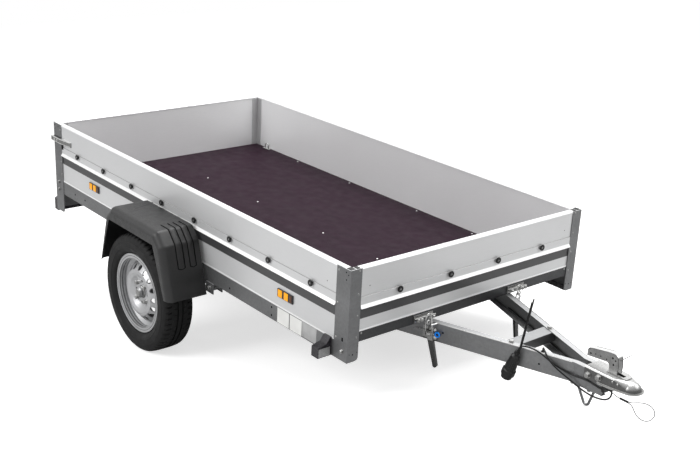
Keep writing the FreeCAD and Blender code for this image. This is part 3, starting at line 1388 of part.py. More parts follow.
def touch(top, side):
    """Where a leg from its top meets the foot's bend, on the side given by the sign."""
    rise = top - foot_centre
    lean = math.acos(s.foot_bend.value / rise.Length)
    angle = math.atan2(rise.z, rise.x) - side * lean
    return foot_centre + Vector(math.cos(angle), 0, math.sin(angle)) * s.foot_bend.value


leg_top = plate_foot.value + 1
back_top = Vector((foot_x - s.foot_back).value, 0, leg_top)
front_top = Vector((foot_x + s.foot_front).value, 0, leg_top)
foot_path = Part.Wire([
    Part.LineSegment(back_top, touch(back_top, -1)).toShape(),
    Part.Arc(touch(back_top, -1), foot_centre - Vector(0, 0, s.foot_bend.value),
             touch(front_top, 1)).toShape(),
    Part.LineSegment(touch(front_top, 1), front_top).toShape()])
foot_wire = shaped("FootWire", round_bar(foot_path, s.foot_bar.value))
keep("parking_foot", fuse("ParkingFoot", [foot_plate, foot_wire]))

# Tailgate and its hinges
gate_half = board_inside - s.gate_side_gap
gate = prism("Tailgate", "XZ", [list(reversed(loop)) for loop in
                                board_section(lambda depth: gate_face + depth, s.gate_foot,
                                              False)], -gate_half, gate_half)
keep("tailgate_board", gate)

leaf_in = s.post_wall + s.hinge_set
neck = s.hinge_z - s.hinge_neck
lower_leaf = [
    (leaf_in - s.hinge_leaf, rail_top - s.hinge_foot), (leaf_in, rail_top - s.hinge_foot),
    (leaf_in, neck), (leaf_in - s.hinge_leaf, neck)]
lower_neck = [
    (s.hinge_x, s.hinge_z - s.knuckle_radius), (leaf_in, neck - s.hinge_neck),
    (leaf_in, neck), (s.hinge_x, s.hinge_z)]
upper_leaf = [
    (gate_face - s.hinge_leaf, s.gate_foot), (gate_face, s.gate_foot),
    (gate_face, s.gate_foot + s.hinge_leaf_height),
    (gate_face - s.hinge_leaf, s.gate_foot + s.hinge_leaf_height)]
upper_neck = [
    (s.hinge_x, s.hinge_z + s.knuckle_radius), (s.hinge_x, s.hinge_z),
    (gate_face, s.gate_foot), (gate_face, s.gate_foot + s.hinge_roll),
    (gate_face - s.hinge_leaf, s.gate_foot + s.hinge_roll)]
fixed_parts, moving_parts = [], []
half_knuckle = s.knuckle_width / 2
for number in (-1, 0, 1):
    y = number * s.hinge_spacing
    low = y - s.hinge_width / 2
    high = y + s.hinge_width / 2
    name = "Hinge%d" % (number + 2)
    pieces_here = [prism(name + "Leaf", "XZ", [lower_leaf], low, high)]
    for side, (a, b) in enumerate(((low, y - half_knuckle - s.knuckle_gap),
                                   (y + half_knuckle + s.knuckle_gap, high))):
        pieces_here.append(prism(name + "Neck%d" % side, "XZ", [lower_neck], a, b))
        pieces_here.append(cylinder_y(name + "Knuckle%d" % side, s.hinge_x, s.hinge_z,
                                      s.knuckle_radius, a, b))
    pieces_here.append(cylinder_y(name + "Pin", s.hinge_x, s.hinge_z, s.hinge_pin, low, high))
    fixed_parts.append(fuse(name + "Fixed", pieces_here))
    inner = fuse(name + "MovingBlank", [
        prism(name + "GateLeaf", "XZ", [upper_leaf], low, high),
        prism(name + "GateNeck", "XZ", [upper_neck], y - half_knuckle, y + half_knuckle),
        cylinder_y(name + "GateKnuckle", s.hinge_x, s.hinge_z, s.knuckle_radius,
                   y - half_knuckle, y + half_knuckle)])
    hole = cylinder_y(name + "Hole", s.hinge_x, s.hinge_z, s.hinge_pin + s.running_fit,
                      low, high)
    moving_parts.append(cut(name + "Moving", inner, hole))
keep("gate_hinges_fixed", group("GateHingesFixed", fixed_parts))
keep("gate_hinges_moving", group("GateHingesMoving", moving_parts))

# Cover knobs
knob_base = board_face + s.channel_out


def knob(name, x, y, z, axis):
    """A knob turned by an angle about Z: 180 stands out along -Y, -90 forward, 90 back."""
    body = new_body(name)
    sketch = new_sketch(body, "XY")
    length = s.knob_length
    draw_outline(sketch, [
        (0, 0), (s.knob_stem, 0), (s.knob_stem, length / 2), (s.knob_radius, length / 2),
        (s.knob_radius, length - s.knob_edge, s.knob_edge),
        (s.knob_radius - s.knob_edge, length), (s.knob_radius * 0.65, length),
        (s.knob_radius / 2, length - s.knob_dish), (0, length - s.knob_dish)])
    revolve(body, sketch)
    body.Placement = FreeCAD.Placement(Vector(), FreeCAD.Rotation(Vector(0, 0, 1), axis))
    bind(body, "Placement.Base.x", x)
    bind(body, "Placement.Base.y", y)
    bind(body, "Placement.Base.z", z)
    return body


SIDE_KNOBS = 8
FRONT_KNOBS = 4
knob_spacing = (s.bed_length - s.knob_last - s.knob_first) / (SIDE_KNOBS - 1)
knobs = []
for number in range(SIDE_KNOBS):
    knobs += both(knob("SideKnob%d" % number, s.knob_first + number * knob_spacing, -knob_base,
                       s.knob_level, 180))
gate_knobs = []
for number in range(FRONT_KNOBS):
    y = (number - 1.5) * s.front_knob_pitch
    knobs.append(knob("FrontKnob%d" % number, front_face + s.channel_out, y, s.knob_level, -90))
    gate_knobs.append(knob("GateKnob%d" % number, gate_face - s.channel_out, y, s.knob_level,
                           90))
keep("tarp_knobs", group("TarpKnobs", knobs))
keep("gate_knobs", group("GateKnobs", gate_knobs))

# Reflectors and lamps
panel_face = board_face - s.panel_recess
reflectors = []
for name, back in (("RearReflector", s.reflector_rear),
                   ("FrontReflector", s.bed_length - s.reflector_front)):
    reflectors += both(prism(name, "XZ", [box(
        back, s.reflector_level - s.reflector_height / 2, back + s.reflector_length,
        s.reflector_level + s.reflector_height / 2)],
        -panel_face - s.reflector_depth, -panel_face))
keep("side_reflectors", group("SideReflectors", reflectors))
lamp_top = s.front_lamp_foot + s.front_lamp_height
lamp_root = lamp_top + s.front_lamp_rise
front_lamp_back = s.bed_length - s.front_lamp_inset
front_lamp = prism("FrontLamp", "YZ", [[
    (-board_face - s.front_lamp_out, s.front_lamp_foot), (-board_face, s.front_lamp_foot),
    (-board_face, lamp_root + s.front_lamp_wedge),
    (-board_face - s.front_lamp_wedge_top, lamp_root + s.front_lamp_wedge),
    (-board_face - s.front_lamp_wedge_out, lamp_root),
    (-board_face - s.front_lamp_out, lamp_top)]],
    front_lamp_back, front_lamp_back + s.front_lamp_length)
rear_lamp_out = half_width - s.rear_lamp_inset
bevel = s.rear_lamp_bevel
rear_lamp = prism("RearLamp", "XY", [[
    (0, s.rear_lamp_width - rear_lamp_out), (bevel - s.rear_lamp_depth, s.rear_lamp_width
                                             - rear_lamp_out),
    (-s.rear_lamp_depth, s.rear_lamp_width - bevel - rear_lamp_out),
    (-s.rear_lamp_depth, bevel - rear_lamp_out), (bevel - s.rear_lamp_depth, -rear_lamp_out),
    (0, -rear_lamp_out), (0, s.rear_post_back + 1 - half_width),
    (s.post_wall, s.rear_post_back + 1 - half_width),
    (s.post_wall, s.rear_lamp_width - rear_lamp_out)]],
    s.rear_lamp_foot, s.rear_lamp_foot + s.rear_lamp_height)
keep("lamps", group("Lamps", both(front_lamp) + both(rear_lamp)))

# Lashing rings on the floor beside the boards
ring_y = s.ring_inset - board_inside
plate_half_y = s.ring_plate_width / 2
rings = []
for name, x in (("RearRing", s.ring_rear), ("FrontRing", s.bed_length - s.ring_front)):
    plate = prism(name + "Plate", "XY", [box(x - s.ring_plate_half, ring_y - plate_half_y,
                                             x + s.ring_plate_half, ring_y + plate_half_y)],
                  s.floor_level, s.floor_level + s.ring_plate)
    arch_bar = doc.addObject("Part::Torus", name + "Arch")
    bind(arch_bar, "Radius1", s.ring_radius)
    bind(arch_bar, "Radius2", s.ring_bar)
    arch_bar.Angle3 = 180
    arch_bar.Placement = FreeCAD.Placement(Vector(), FreeCAD.Rotation(Vector(1, 0, 0), 90))
    bind(arch_bar, "Placement.Base.x", x)
    bind(arch_bar, "Placement.Base.y", ring_y)
    bind(arch_bar, "Placement.Base.z", s.floor_level + s.ring_plate + s.ring_leg)
    leg_foot = s.floor_level + s.ring_plate - 1
    legs = [upright(name + "Leg%d" % number, x + side * s.ring_radius, ring_y, s.ring_bar,
                    leg_foot, leg_foot + s.ring_leg + 1)
            for number, side in enumerate((-1, 1))]
    rings += both(fuse(name, [plate, arch_bar] + legs))
keep("lashing_rings", group("LashingRings", rings))

# Bed latches: a base with its lever on each arm, and a catch on the front rail
tilt_angle = math.degrees(math.atan(slope.value))
catch_foot = s.front_rail_foot + s.catch_rise
catch_top = catch_foot + s.catch_height
catch_edge = catch_top - s.catch_bevel
catch_tip = front_face + s.catch_out
plate_face = front_face + s.catch_sheet
shelf_foot = catch_foot + s.catch_height / 2
catch_side = [
    (front_face, catch_foot), (plate_face, catch_foot), (plate_face, shelf_foot),
    (catch_tip, shelf_foot), (catch_tip, catch_edge),
    (catch_tip - s.catch_sheet, catch_edge),
    (catch_tip - s.catch_sheet, shelf_foot + s.catch_sheet),
    (plate_face, shelf_foot + s.catch_sheet), (plate_face, catch_top), (front_face, catch_top)]
catch = prism("BedCatch", "XZ", [catch_side], -s.catch_y - s.catch_width / 2,
              s.catch_width / 2 - s.catch_y)
keep("bed_catches", group("BedCatches", both(catch)))

latch_parts = [prism("LatchBase", "XZ", [box(-s.latch_base_rear, -s.latch_base_foot,
                                             s.latch_base_front, s.latch_base_top)],
                     -s.latch_sheet, 0)]
ear_reach = s.latch_lever_top + s.latch_sheet / 2 + s.latch_sheet
ear_tip = -s.latch_pin_out - 2 * s.latch_pin
for name, x in (("LatchEarRear", -ear_reach), ("LatchEarFront", ear_reach - s.latch_sheet)):
    latch_parts.append(prism(name, "YZ", [[
        (-s.latch_sheet, -s.latch_ear_half), (-s.latch_sheet, s.latch_ear_half),
        (ear_tip, s.latch_ear_tip), (ear_tip, -s.latch_ear_tip)]],
        x, x + s.latch_sheet))
pin_end = ear_reach + s.latch_pin_end
latch_pin = doc.addObject("Part::Cylinder", "LatchPin")
bind(latch_pin, "Radius", s.latch_pin)
bind(latch_pin, "Height", ear_reach + pin_end)
latch_pin.Placement = FreeCAD.Placement(Vector(), FreeCAD.Rotation(Vector(0, 1, 0), 90))
bind(latch_pin, "Placement.Base.x", -ear_reach)
bind(latch_pin, "Placement.Base.y", -s.latch_pin_out)
latch_parts.append(latch_pin)
lever_end = s.latch_lever_end
lever = prism("LatchLever", "XZ", [[
    (-s.latch_lever_top, s.latch_lever_head),
    (s.latch_lean - lever_end, lever_end - s.latch_lever, lever_end),
    (s.latch_lean + lever_end, lever_end - s.latch_lever),
    (s.latch_lever_top, s.latch_lever_head)]],
    -s.latch_pin_out - s.latch_lever_depth / 2, s.latch_lever_depth / 2 - s.latch_pin_out)
latch_parts.append(lever)
latch_solid = fuse("LatchSolid", latch_parts)


def on_arm(name, item, x, level):
    """Place a piece drawn at the origin on the outer face of the right arm."""
    holder = group(name, [item])
    holder.Placement = FreeCAD.Placement(Vector(), FreeCAD.Rotation(Vector(0, 0, 1),
                                                                    tilt_angle))
    bind(holder, "Placement.Base.x", x)
    bind(holder, "Placement.Base.y", arm_y(x))
    bind(holder, "Placement.Base.z", level)
    return holder


latch_x = s.bed_length + s.latch_ahead
latch = on_arm("Latch", latch_solid, latch_x, s.latch_level)
keep("drawbar_latches", group("DrawbarLatches", both(latch)))

# A ring of plastic through the end of each pin keeps it in place.
clip_ring = doc.addObject("Part::Torus", "ClipRing")
bind(clip_ring, "Radius1", s.clip_radius)
bind(clip_ring, "Radius2", s.clip_bar)
clip_ring.Placement = FreeCAD.Placement(Vector(), FreeCAD.Rotation(Vector(1, 0, 0), 90))
bind(clip_ring, "Placement.Base.x", pin_end + s.clip_radius + s.clip_bar + s.edge_gap)
bind(clip_ring, "Placement.Base.y", -s.latch_pin_out)
bind(clip_ring, "Placement.Base.z", s.latch_pin)
clip = on_arm("LatchClip", clip_ring, latch_x, s.latch_level)
keep("latch_clips", group("LatchClips", both(clip)))

# Tailgate latches: a lever plate along each side board, its end beside the gate's catch
latch_low = s.gate_latch_level - s.gate_latch_height / 2
latch_high = s.gate_latch_level + s.gate_latch_height / 2
latch_in = half_width + s.edge_gap
latch_out = latch_in + s.gate_latch_out
latch_back = latch_in + s.gate_latch_gap
hook_end = latch_in + s.gate_catch_hook
catch_back = gate_face - s.gate_catch_sheet
catch_knee = gate_face - s.gate_catch_out
gate_latch_plan = [
    (s.gate_latch_front, -board_face), (s.gate_latch_front, -board_face - s.gate_latch_sheet),
    (s.gate_latch_front - s.gate_latch_taper, -latch_out), (-s.gate_latch_past, -latch_out),
    (-s.gate_latch_past, -latch_back), (s.rear_post_side + s.gate_latch_past, -latch_back),
    (s.rear_post_side + s.gate_latch_past, -board_face)]
gate_latch = prism("GateLatch", "XY", [gate_latch_plan], latch_low, latch_high)
keep("gate_latches", group("GateLatches", both(gate_latch)))
catch_plan = [
    (gate_face, s.gate_catch_length - gate_half), (catch_back, s.gate_catch_length - gate_half),
    (catch_knee, -gate_half), (catch_knee, -hook_end), (catch_back, -hook_end),
    (catch_back, -gate_half), (gate_face, s.gate_catch_out - gate_half)]
gate_catch = prism("GateCatch", "XY", [catch_plan], latch_low + s.gate_catch_margin,
                   latch_high - s.gate_catch_margin)
keep("gate_catches", group("GateCatches", both(gate_catch)))

# Rubber holder for the leads, between and below the coupling's sides
holder_neck = s.arm_nose_y + s.edge_gap
holder_back = ball_x - s.holder_inset
holder_front = holder_back + s.holder_length
holder_shoulder = coupling_edge(holder_back) - s.edge_gap
cable_holder = prism("CableHolder", "YZ", [[
    (-s.holder_half, s.holder_foot), (s.holder_half, s.holder_foot),
    (s.holder_half, holder_shoulder), (holder_neck, holder_shoulder),
    (holder_neck, s.holder_top), (-holder_neck, s.holder_top),
    (-holder_neck, holder_shoulder), (-s.holder_half, holder_shoulder)]],
    holder_back, holder_front)

# Leads: hand-picked points of their middle lines, each given forward of the ball, towards
# the middle from the right arm's outer face, and above the arms' top.
PLUG_LEAD = [
    (-424, -24.3, -7.7), (-417.4, -24.2, 16.3), (-389, -15.5, 16.8), (-354, -8.8, 5.3),
    (-320, -7.7, -15.7), (-283, -5.2, -35.7), (-245, -4.5, -46.7), (-211, -5, -48.7),
    (-182, -4.3, -44.7), (-152, -4, -43.7), (-128, -3.9, -47.2), (-110, -3.8, -49.7),
    (-92, -3.8, -49.7)]
LOOP_LEAD = [
    (-78, 5, -33.7), (-68, 5, -33.7), (-56.5, 3.5, -41.7), (-52, 0.5, -54.7),
    (-57, -1.5, -70.7), (-72, -3.5, -83.7), (-99, -5.5, -90.7), (-132, -6.5, -93.2),
    (-167, -7, -89.7), (-201, -8.5, -81.2), (-232, -12.1, -68.2), (-263, -14.7, -50.2),
    (-292, -20.6, -26.7), (-314, -21.8, -1.7), (-330, -15.7, 17.3), (-345, -2.5, 23.3),
    (-354, 10.2, 15), (-354, 10.2, 4)]
SAFETY_LEAD = [
    (-78, 9, -49.7), (-59, 9, -49.7), (-38, 9, -57.7), (-20.5, 9, -57.7)]
SAFETY_LOOP = [
    (13.5, 9, -55.6), (25, 9, -55.6), (45, 9, -45.7), (70, 9, -34.2), (96, 8.5, -28.7),
    (118, 8.5, -34.2), (129, 8, -51.2), (123, 8, -73.2), (106, 8, -91.2), (83, 8, -99.2),
    (61, 8.5, -95.2), (45, 9, -81.2), (35, 9, -67.7), (26, 9, -61), (13.5, 9, -59.8)]


def lead_track(points):
    """The points of a lead in the level frame."""
    track = []
    for forward, inward, above in points:
        x = ball_x.value + forward
        face_y = arm_y(x).value if x < arm_bend.value else -s.arm_nose_y.value
        track.append(Vector(x, face_y + inward, s.arm_top.value + above))
    return track


plug_track = lead_track(PLUG_LEAD)
plug_track[-1].x = holder_back.value
loop_track = lead_track(LOOP_LEAD)
loop_track[0].x = holder_front.value
loop_track[-1].z = (s.arm_top + s.grommet_height).value
rope_track = lead_track(SAFETY_LEAD)
rope_track[0].x = holder_front.value
rope_loop_track = lead_track(SAFETY_LOOP)


def lead(name, track, radius):
    """A lead as straight runs and arcs, each arc as large as its two runs allow."""
    radii = []
    for i in range(1, len(track) - 1):
        before = track[i] - track[i - 1]
        after = track[i + 1] - track[i]
        half_turn = before.getAngle(after) / 2
        radii.append(0.45 * min(before.Length, after.Length) / math.tan(half_turn))
    path = rounded_path(track, radii)
    solid = round_bar(path, radius.value)
    print(name, "points", [tuple(round(v / 1000, 4) for v in point) for point in track])
    print(name, "length", round(path.Length, 1), "radii", [round(r) for r in radii],
          "volume share", round(solid.Volume / (math.pi * radius.value ** 2 * path.Length), 4))
    return shaped(name, solid)


keep("plug_lead", lead("PlugLead", plug_track, s.lead_radius))
keep("loop_lead", lead("LoopLead", loop_track, s.lead_radius))
keep("safety_lead", lead("SafetyLead", rope_track, s.rope_radius))
keep("safety_loop", lead("SafetyLoop", rope_loop_track, s.rope_radius))


def placed_along(name, source, start, direction):
    """Turn a piece drawn along -Z at the origin so that it runs from start in a direction."""
    holder = group(name, [source])
    holder.Placement = FreeCAD.Placement(start, FreeCAD.Rotation(Vector(0, 0, -1), direction))
    return holder


plug_start = plug_track[0]
plug_way = plug_start - plug_track[1]
plug_body = new_body("Plug")
plug_sketch = new_sketch(plug_body, "XZ")
r = s.plug_radius
lid = r - s.plug_step
collar_end = s.plug_lid + s.plug_slope - s.plug_length
draw_outline(plug_sketch, [
    (0, 0), (0, -s.plug_length), (lid - s.plug_slope, -s.plug_length),
    (lid, s.plug_lid - s.plug_length), (r, collar_end), (r, collar_end + s.plug_collar),
    (lid, collar_end + s.plug_collar + s.plug_slope),
    (r - s.plug_neck, -s.gland_length - s.gland_cone), (s.gland_radius, -s.gland_length),
    (s.gland_radius, 0)])
revolve(plug_body, plug_sketch)
keep("power_plug", placed_along("PowerPlug", plug_body, plug_start, plug_way))

ferrule_start = rope_track[-1]
ferrule_way = (rope_loop_track[0] + rope_loop_track[-1]) / 2 - ferrule_start
ferrule = doc.addObject("Part::Cylinder", "Ferrule")
bind(ferrule, "Radius", s.ferrule_radius)
ferrule.Height = ferrule_way.Length
ferrule.Placement = FreeCAD.Placement(
    ferrule_start, FreeCAD.Rotation(Vector(0, 0, 1), ferrule_way))
keep("rope_ferrule", ferrule)

# Cable tie round the gland, with its long tail standing up
tie_in = s.gland_radius + s.edge_gap
tie_out = tie_in + s.tie_thickness
tie_ring = prism("TieRing", "XY", [(0, 0, tie_out), (0, 0, tie_in)],
                 -s.tie_level - s.tie_width, -s.tie_level)
tie_band = placed_along("TieBand", tie_ring, plug_start, plug_way)
up = Vector(plug_way).normalize() * -1
towards_arm = Vector(0, 1, 0) - up * up.y
tail_start = (plug_start + up * -(s.tie_level.value + s.tie_width.value / 2)
              + towards_arm.normalize() * (tie_out.value + s.edge_gap.value))
tail_way = Vector(24, 14, 211)
tail_strip = prism("TieTailStrip", "XY", [box(-s.tie_width / 2, -s.tie_thickness / 2,
                                              s.tie_width / 2, s.tie_thickness / 2)],
                   -s.tie_tail, Size.of(0))
tie_tail = placed_along("TieTail", tail_strip, tail_start, tail_way)
keep("cable_tie", fuse("CableTie", [tie_band, tie_tail]))

grommet = upright("Grommet", Size.of(loop_track[-1].x), Size.of(loop_track[-1].y),
                  s.grommet_radius, s.arm_top, s.arm_top + s.grommet_height)
keep("lead_holders", group("LeadHolders", [cable_holder, grommet]))

doc.recompute()

# Stand: nose down until wheels and foot touch the floor
reach = foot_centre.x - s.axle_x.value
foot_round = (s.foot_bend + s.foot_bar).value
distance = math.hypot(reach, foot_centre.z)
pitch = (math.asin((s.tyre_radius.value - foot_round) / distance)
         + math.atan2(foot_centre.z, reach))
turn = FreeCAD.Rotation(Vector(0, 1, 0), math.degrees(pitch))
print("pitch", math.degrees(pitch))

# The origin lies below the middle of everything but the loose leads and what hangs on them.
LOOSE = ("plug_lead", "loop_lead", "safety_lead", "safety_loop", "power_plug", "rope_ferrule")

os.makedirs("parts", exist_ok=True)
failed = [o.Name for o in doc.Objects if "Invalid" in o.State or "Error" in o.State]
if failed:
    raise RuntimeError("not computed: " + ", ".join(failed))
level = FreeCAD.Placement(Vector(), turn)
low_x, high_x, low_z = [], [], []
for label, item in pieces.items():
    shape = item.Shape
    if shape.isNull() or not shape.isValid():
        raise RuntimeError("bad shape: " + label)
    shown = shape.copy()
    shown.Placement = level.multiply(shown.Placement)
    bound = shown.optimalBoundingBox(False)
    if label not in LOOSE:
        low_x.append(bound.XMin)
        high_x.append(bound.XMax)
        low_z.append(bound.ZMin)
    print(label, len(shape.Solids), "solids", round(shape.Volume / 1000, 1), "cm3")
origin = Vector(-(min(low_x) + max(high_x)) / 2, 0, -min(low_z))
stand = FreeCAD.Placement(origin, turn)
print("stand", stand, "lowest", min(low_z))
for label, item in pieces.items():
    if item.Name not in mirrored:
        item.Placement = stand.multiply(item.Placement)
doc.recompute()
for label, item in pieces.items():
    item.Shape.exportStep("parts/%s.step" % label)
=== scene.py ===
"""Looks of a parked box trailer: finishes, tread, fasteners, lamps and leads."""

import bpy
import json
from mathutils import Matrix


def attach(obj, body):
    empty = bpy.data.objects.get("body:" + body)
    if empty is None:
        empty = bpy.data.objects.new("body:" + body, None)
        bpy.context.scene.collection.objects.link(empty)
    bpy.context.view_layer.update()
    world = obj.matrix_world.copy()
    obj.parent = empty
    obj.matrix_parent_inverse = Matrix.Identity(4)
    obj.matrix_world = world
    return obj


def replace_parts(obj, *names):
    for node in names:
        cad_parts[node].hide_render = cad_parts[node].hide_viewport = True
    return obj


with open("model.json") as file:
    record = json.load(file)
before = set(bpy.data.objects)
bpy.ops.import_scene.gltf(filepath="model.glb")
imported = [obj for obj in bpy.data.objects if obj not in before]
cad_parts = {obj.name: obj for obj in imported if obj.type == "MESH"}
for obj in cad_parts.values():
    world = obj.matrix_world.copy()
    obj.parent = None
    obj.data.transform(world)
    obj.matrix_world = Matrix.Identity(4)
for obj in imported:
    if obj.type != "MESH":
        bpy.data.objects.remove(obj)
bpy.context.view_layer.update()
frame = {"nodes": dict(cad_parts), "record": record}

import json
import math
import bmesh
import bpy
from mathutils import Matrix, Vector

# The bed is drawn level, in millimetres, and then stands nose down. The mount of its load
# floor says where it stands and how far it leans.
MM = 0.001
FLOOR_POINT = Vector((1200, 0, 212))
floor_mount = next(m for m in frame["record"]["mounts"] if m["name"] == "load_floor")
PITCH = math.atan2(floor_mount["axis"][0], floor_mount["axis"][2])
TURN = Matrix.Rotation(PITCH, 4, "Y")
SHIFT = Vector(floor_mount["pos_m"]) - TURN @ (FLOOR_POINT * MM)
STAND = Matrix.Translation(SHIFT) @ TURN @ Matrix.Scale(MM, 4)

SIDES = (-1, 1)
AHEAD, BEHIND = (1, 0, 0), (-1, 0, 0)
UP, DOWN = (0, 0, 1), (0, 0, -1)


def level(x, y, z):
    """A point of the level bed, in millimetres, where it stands."""
    return STAND @ Vector((x, y, z))


def new_object(name, data):
    item = bpy.data.objects.new(name, data)
    bpy.context.scene.collection.objects.link(item)
    return item


# Camera

CAMERA_AT = (5190.88, -3036.23, 1986.22)
CAMERA_RIGHT = Vector((0.636868, 0.769396, 0.049286))
CAMERA_UP = Vector((-0.295896, 0.184896, 0.937155))
SENSOR_WIDTH, FOCAL_LENGTH = 36, 55.878
NEAREST, FARTHEST = 0.05, 200


def add_camera():
    right = CAMERA_RIGHT.normalized()
    back = right.cross(CAMERA_UP).normalized()
    axes = Matrix((right, back.cross(right), back)).transposed().to_4x4()
    camera = new_object("Camera", bpy.data.cameras.new("Camera"))
    camera.matrix_world = Matrix.Translation(level(*CAMERA_AT)) @ TURN @ axes
    camera.data.sensor_width = SENSOR_WIDTH
    camera.data.lens = FOCAL_LENGTH
    camera.data.clip_start = NEAREST
    camera.data.clip_end = FARTHEST
    bpy.context.scene.camera = camera


add_camera()
bpy.context.scene.view_settings.view_transform = "Standard"


# Finishes

class Paint:
    """A material whose patterns follow the level bed, measured in metres."""

    def __init__(self, name, colour, roughness, metallic=0.0, **sockets):
        self.material = bpy.data.materials.new(name)
        self.material.use_nodes = True
        self.tree = self.material.node_tree
        self.shader = self.tree.nodes["Principled BSDF"]
        self.shader.inputs["Base Color"].default_value = (*colour, 1)
        self.shader.inputs["Roughness"].default_value = roughness
        self.shader.inputs["Metallic"].default_value = metallic
        for socket, value in sockets.items():
            self.shader.inputs[socket.replace("_", " ")].default_value = value
        turned = self.add("ShaderNodeMapping", vector_type="TEXTURE")
        turned.inputs["Location"].default_value = SHIFT
        turned.inputs["Rotation"].default_value = (0, PITCH, 0)
        self.join(self.add("ShaderNodeTexCoord").outputs["Object"], turned.inputs["Vector"])
        self.place = turned.outputs["Vector"]

    def add(self, kind, **settings):
        node = self.tree.nodes.new(kind)
        for name, value in settings.items():
            setattr(node, name, value)
        return node

    def join(self, output, socket):
        self.tree.links.new(output, socket)

    def feed(self, value, socket):
        """A number, a colour or another node's output into a socket."""
        if isinstance(value, bpy.types.NodeSocket):
            self.join(value, socket)
        elif isinstance(value, tuple):
            socket.default_value = (*value, 1)
        else:
            socket.default_value = value

    def math(self, operation, first, second):
        node = self.add("ShaderNodeMath", operation=operation)
        self.feed(first, node.inputs[0])
        self.feed(second, node.inputs[1])
        return node.outputs["Value"]

    def both(self, first, second):
        return self.math("MULTIPLY", first, second)

    def mix(self, share, dark, light):
        node = self.add("ShaderNodeMix", data_type="RGBA")
        factor, first, second = node.inputs["Factor"], node.inputs[6], node.inputs[7]
        self.feed(share, factor)
        self.feed(dark, first)
        self.feed(light, second)
        return node.outputs[2]

    def spread(self, value, low, high, to_low=0, to_high=1):
        """A value whose range from low to high becomes another range."""
        node = self.add("ShaderNodeMapRange")
        self.join(value, node.inputs["Value"])
        for name, number in (("From Min", low), ("From Max", high),
                             ("To Min", to_low), ("To Max", to_high)):
            node.inputs[name].default_value = number
        return node.outputs["Result"]

    def pattern(self, kind, scale, grain):
        """A texture with so many features per metre, squeezed along each axis by the grain."""
        squeezed = self.add("ShaderNodeMapping")
        squeezed.inputs["Scale"].default_value = grain
        self.join(self.place, squeezed.inputs["Vector"])
        texture = self.add(kind)
        texture.inputs["Scale"].default_value = scale
        self.join(squeezed.outputs["Vector"], texture.inputs["Vector"])
        return texture

    def noise(self, scale, grain=(1, 1, 1), detail=4):
        """Clouds from 0 to 1."""
        texture = self.pattern("ShaderNodeTexNoise", scale, grain)
        texture.inputs["Detail"].default_value = detail
        return self.spread(texture.outputs["Fac"], 0.3, 0.7)

    def cells(self, scale, grain=(1, 1, 1)):
        return self.pattern("ShaderNodeTexVoronoi", scale, grain)

    def coordinate(self, axis):
        split = self.add("ShaderNodeSeparateXYZ")
        self.join(self.place, split.inputs["Vector"])
        return split.outputs[axis]

    def band(self, axis, low, high):
        """1 between two levels of an axis, in metres, and 0 elsewhere."""
        value = self.coordinate(axis)
        return self.both(self.math("GREATER_THAN", value, low),
                         self.math("LESS_THAN", value, high))

    def top_light_share(self):
        """1 on faces that look up, 0 on upright and lower ones: the share of painted top light."""
        split = self.add("ShaderNodeSeparateXYZ")
        self.join(self.add("ShaderNodeNewGeometry").outputs["Normal"], split.inputs["Vector"])
        return self.spread(split.outputs["Z"], 0.3, 0.9)

    def tint(self, share, dark, light):
        """The surface's colour, from dark to light by the share."""
        self.join(self.mix(share, dark, light), self.shader.inputs["Base Color"])
        return self

    def cover(self, share, colour):
        """Another colour over the tint made before, where the share is 1."""
        before = self.shader.inputs["Base Color"].links[0].from_socket
        return self.tint(share, before, colour)

    def rough(self, value, low, high):
        """Roughness from low to high, by a value from 0 to 1."""
        self.join(self.spread(value, 0, 1, low, high), self.shader.inputs["Roughness"])
        return self

    def bump(self, height, depth):
        """Fine relief, so many metres deep."""
        node = self.add("ShaderNodeBump")
        node.inputs["Strength"].default_value = 1
        node.inputs["Distance"].default_value = depth
        self.join(height, node.inputs["Height"])
        self.join(node.outputs["Normal"], self.shader.inputs["Normal"])
        return self


def shade(colour, factor):
    return tuple(min(1.0, channel * factor) for channel in colour)


def clouded(name, colour, roughness, scale, dark, light, metallic=0.0, **sockets):
    """A plain surface with faint clouds between two colours."""
    paint = Paint(name, colour, roughness, metallic, **sockets)
    return paint.tint(paint.noise(scale), dark, light)


def galvanised(name, colour, top):
    """Hot-dipped zinc: dull flakes and clouds, with painted top light on upper faces."""
    paint = Paint(name, colour, 0.45, 0.6, Specular_IOR_Level=0.4)
    flakes = paint.spread(paint.cells(130).outputs["Color"], 0.2, 0.8)
    clouds = paint.noise(6, (1, 1, 2))
    share = paint.math("ADD", paint.both(flakes, 0.35), paint.both(clouds, 0.65))
    sides = paint.mix(share, shade(colour, 0.86), shade(colour, 1.12))
    lit_tops = paint.mix(share, shade(top, 0.92), shade(top, 1.06))
    # Painted top light: upward faces take the lighter colour, upright ones the darker
    paint.tint(paint.top_light_share(), sides, lit_tops)
    paint.rough(share, 0.5, 0.34)
    return paint.bump(paint.noise(420), 0.00006)


def zinc_plate(name, colour, top):
    """Bright zinc plate on pressed parts, with painted top light on its upward faces."""
    paint = Paint(name, colour, 0.25, 0.85)
    clouds = paint.noise(45)
    sides = paint.mix(clouds, shade(colour, 0.85), shade(colour, 1.12))
    lit_tops = paint.mix(clouds, shade(top, 0.9), shade(top, 1.05))
    # Painted top light: upward faces take the lighter colour, upright ones the darker
    paint.tint(paint.top_light_share(), sides, lit_tops)
    paint.rough(paint.noise(160), 0.24, 0.38)
    return paint.bump(paint.noise(500), 0.00001)


# Levels of the boards' outer face, in metres, and its colours, with painted light among them
STRIPE_FOOT, STRIPE_TOP, LEDGE_TOP = 0.2925, 0.3372, 0.352
GROOVE_FOOT, GROOVE_TOP = 0.382, 0.3848
LIP_HEIGHT = 0.006
ANODISED = (0.60, 0.603, 0.608)
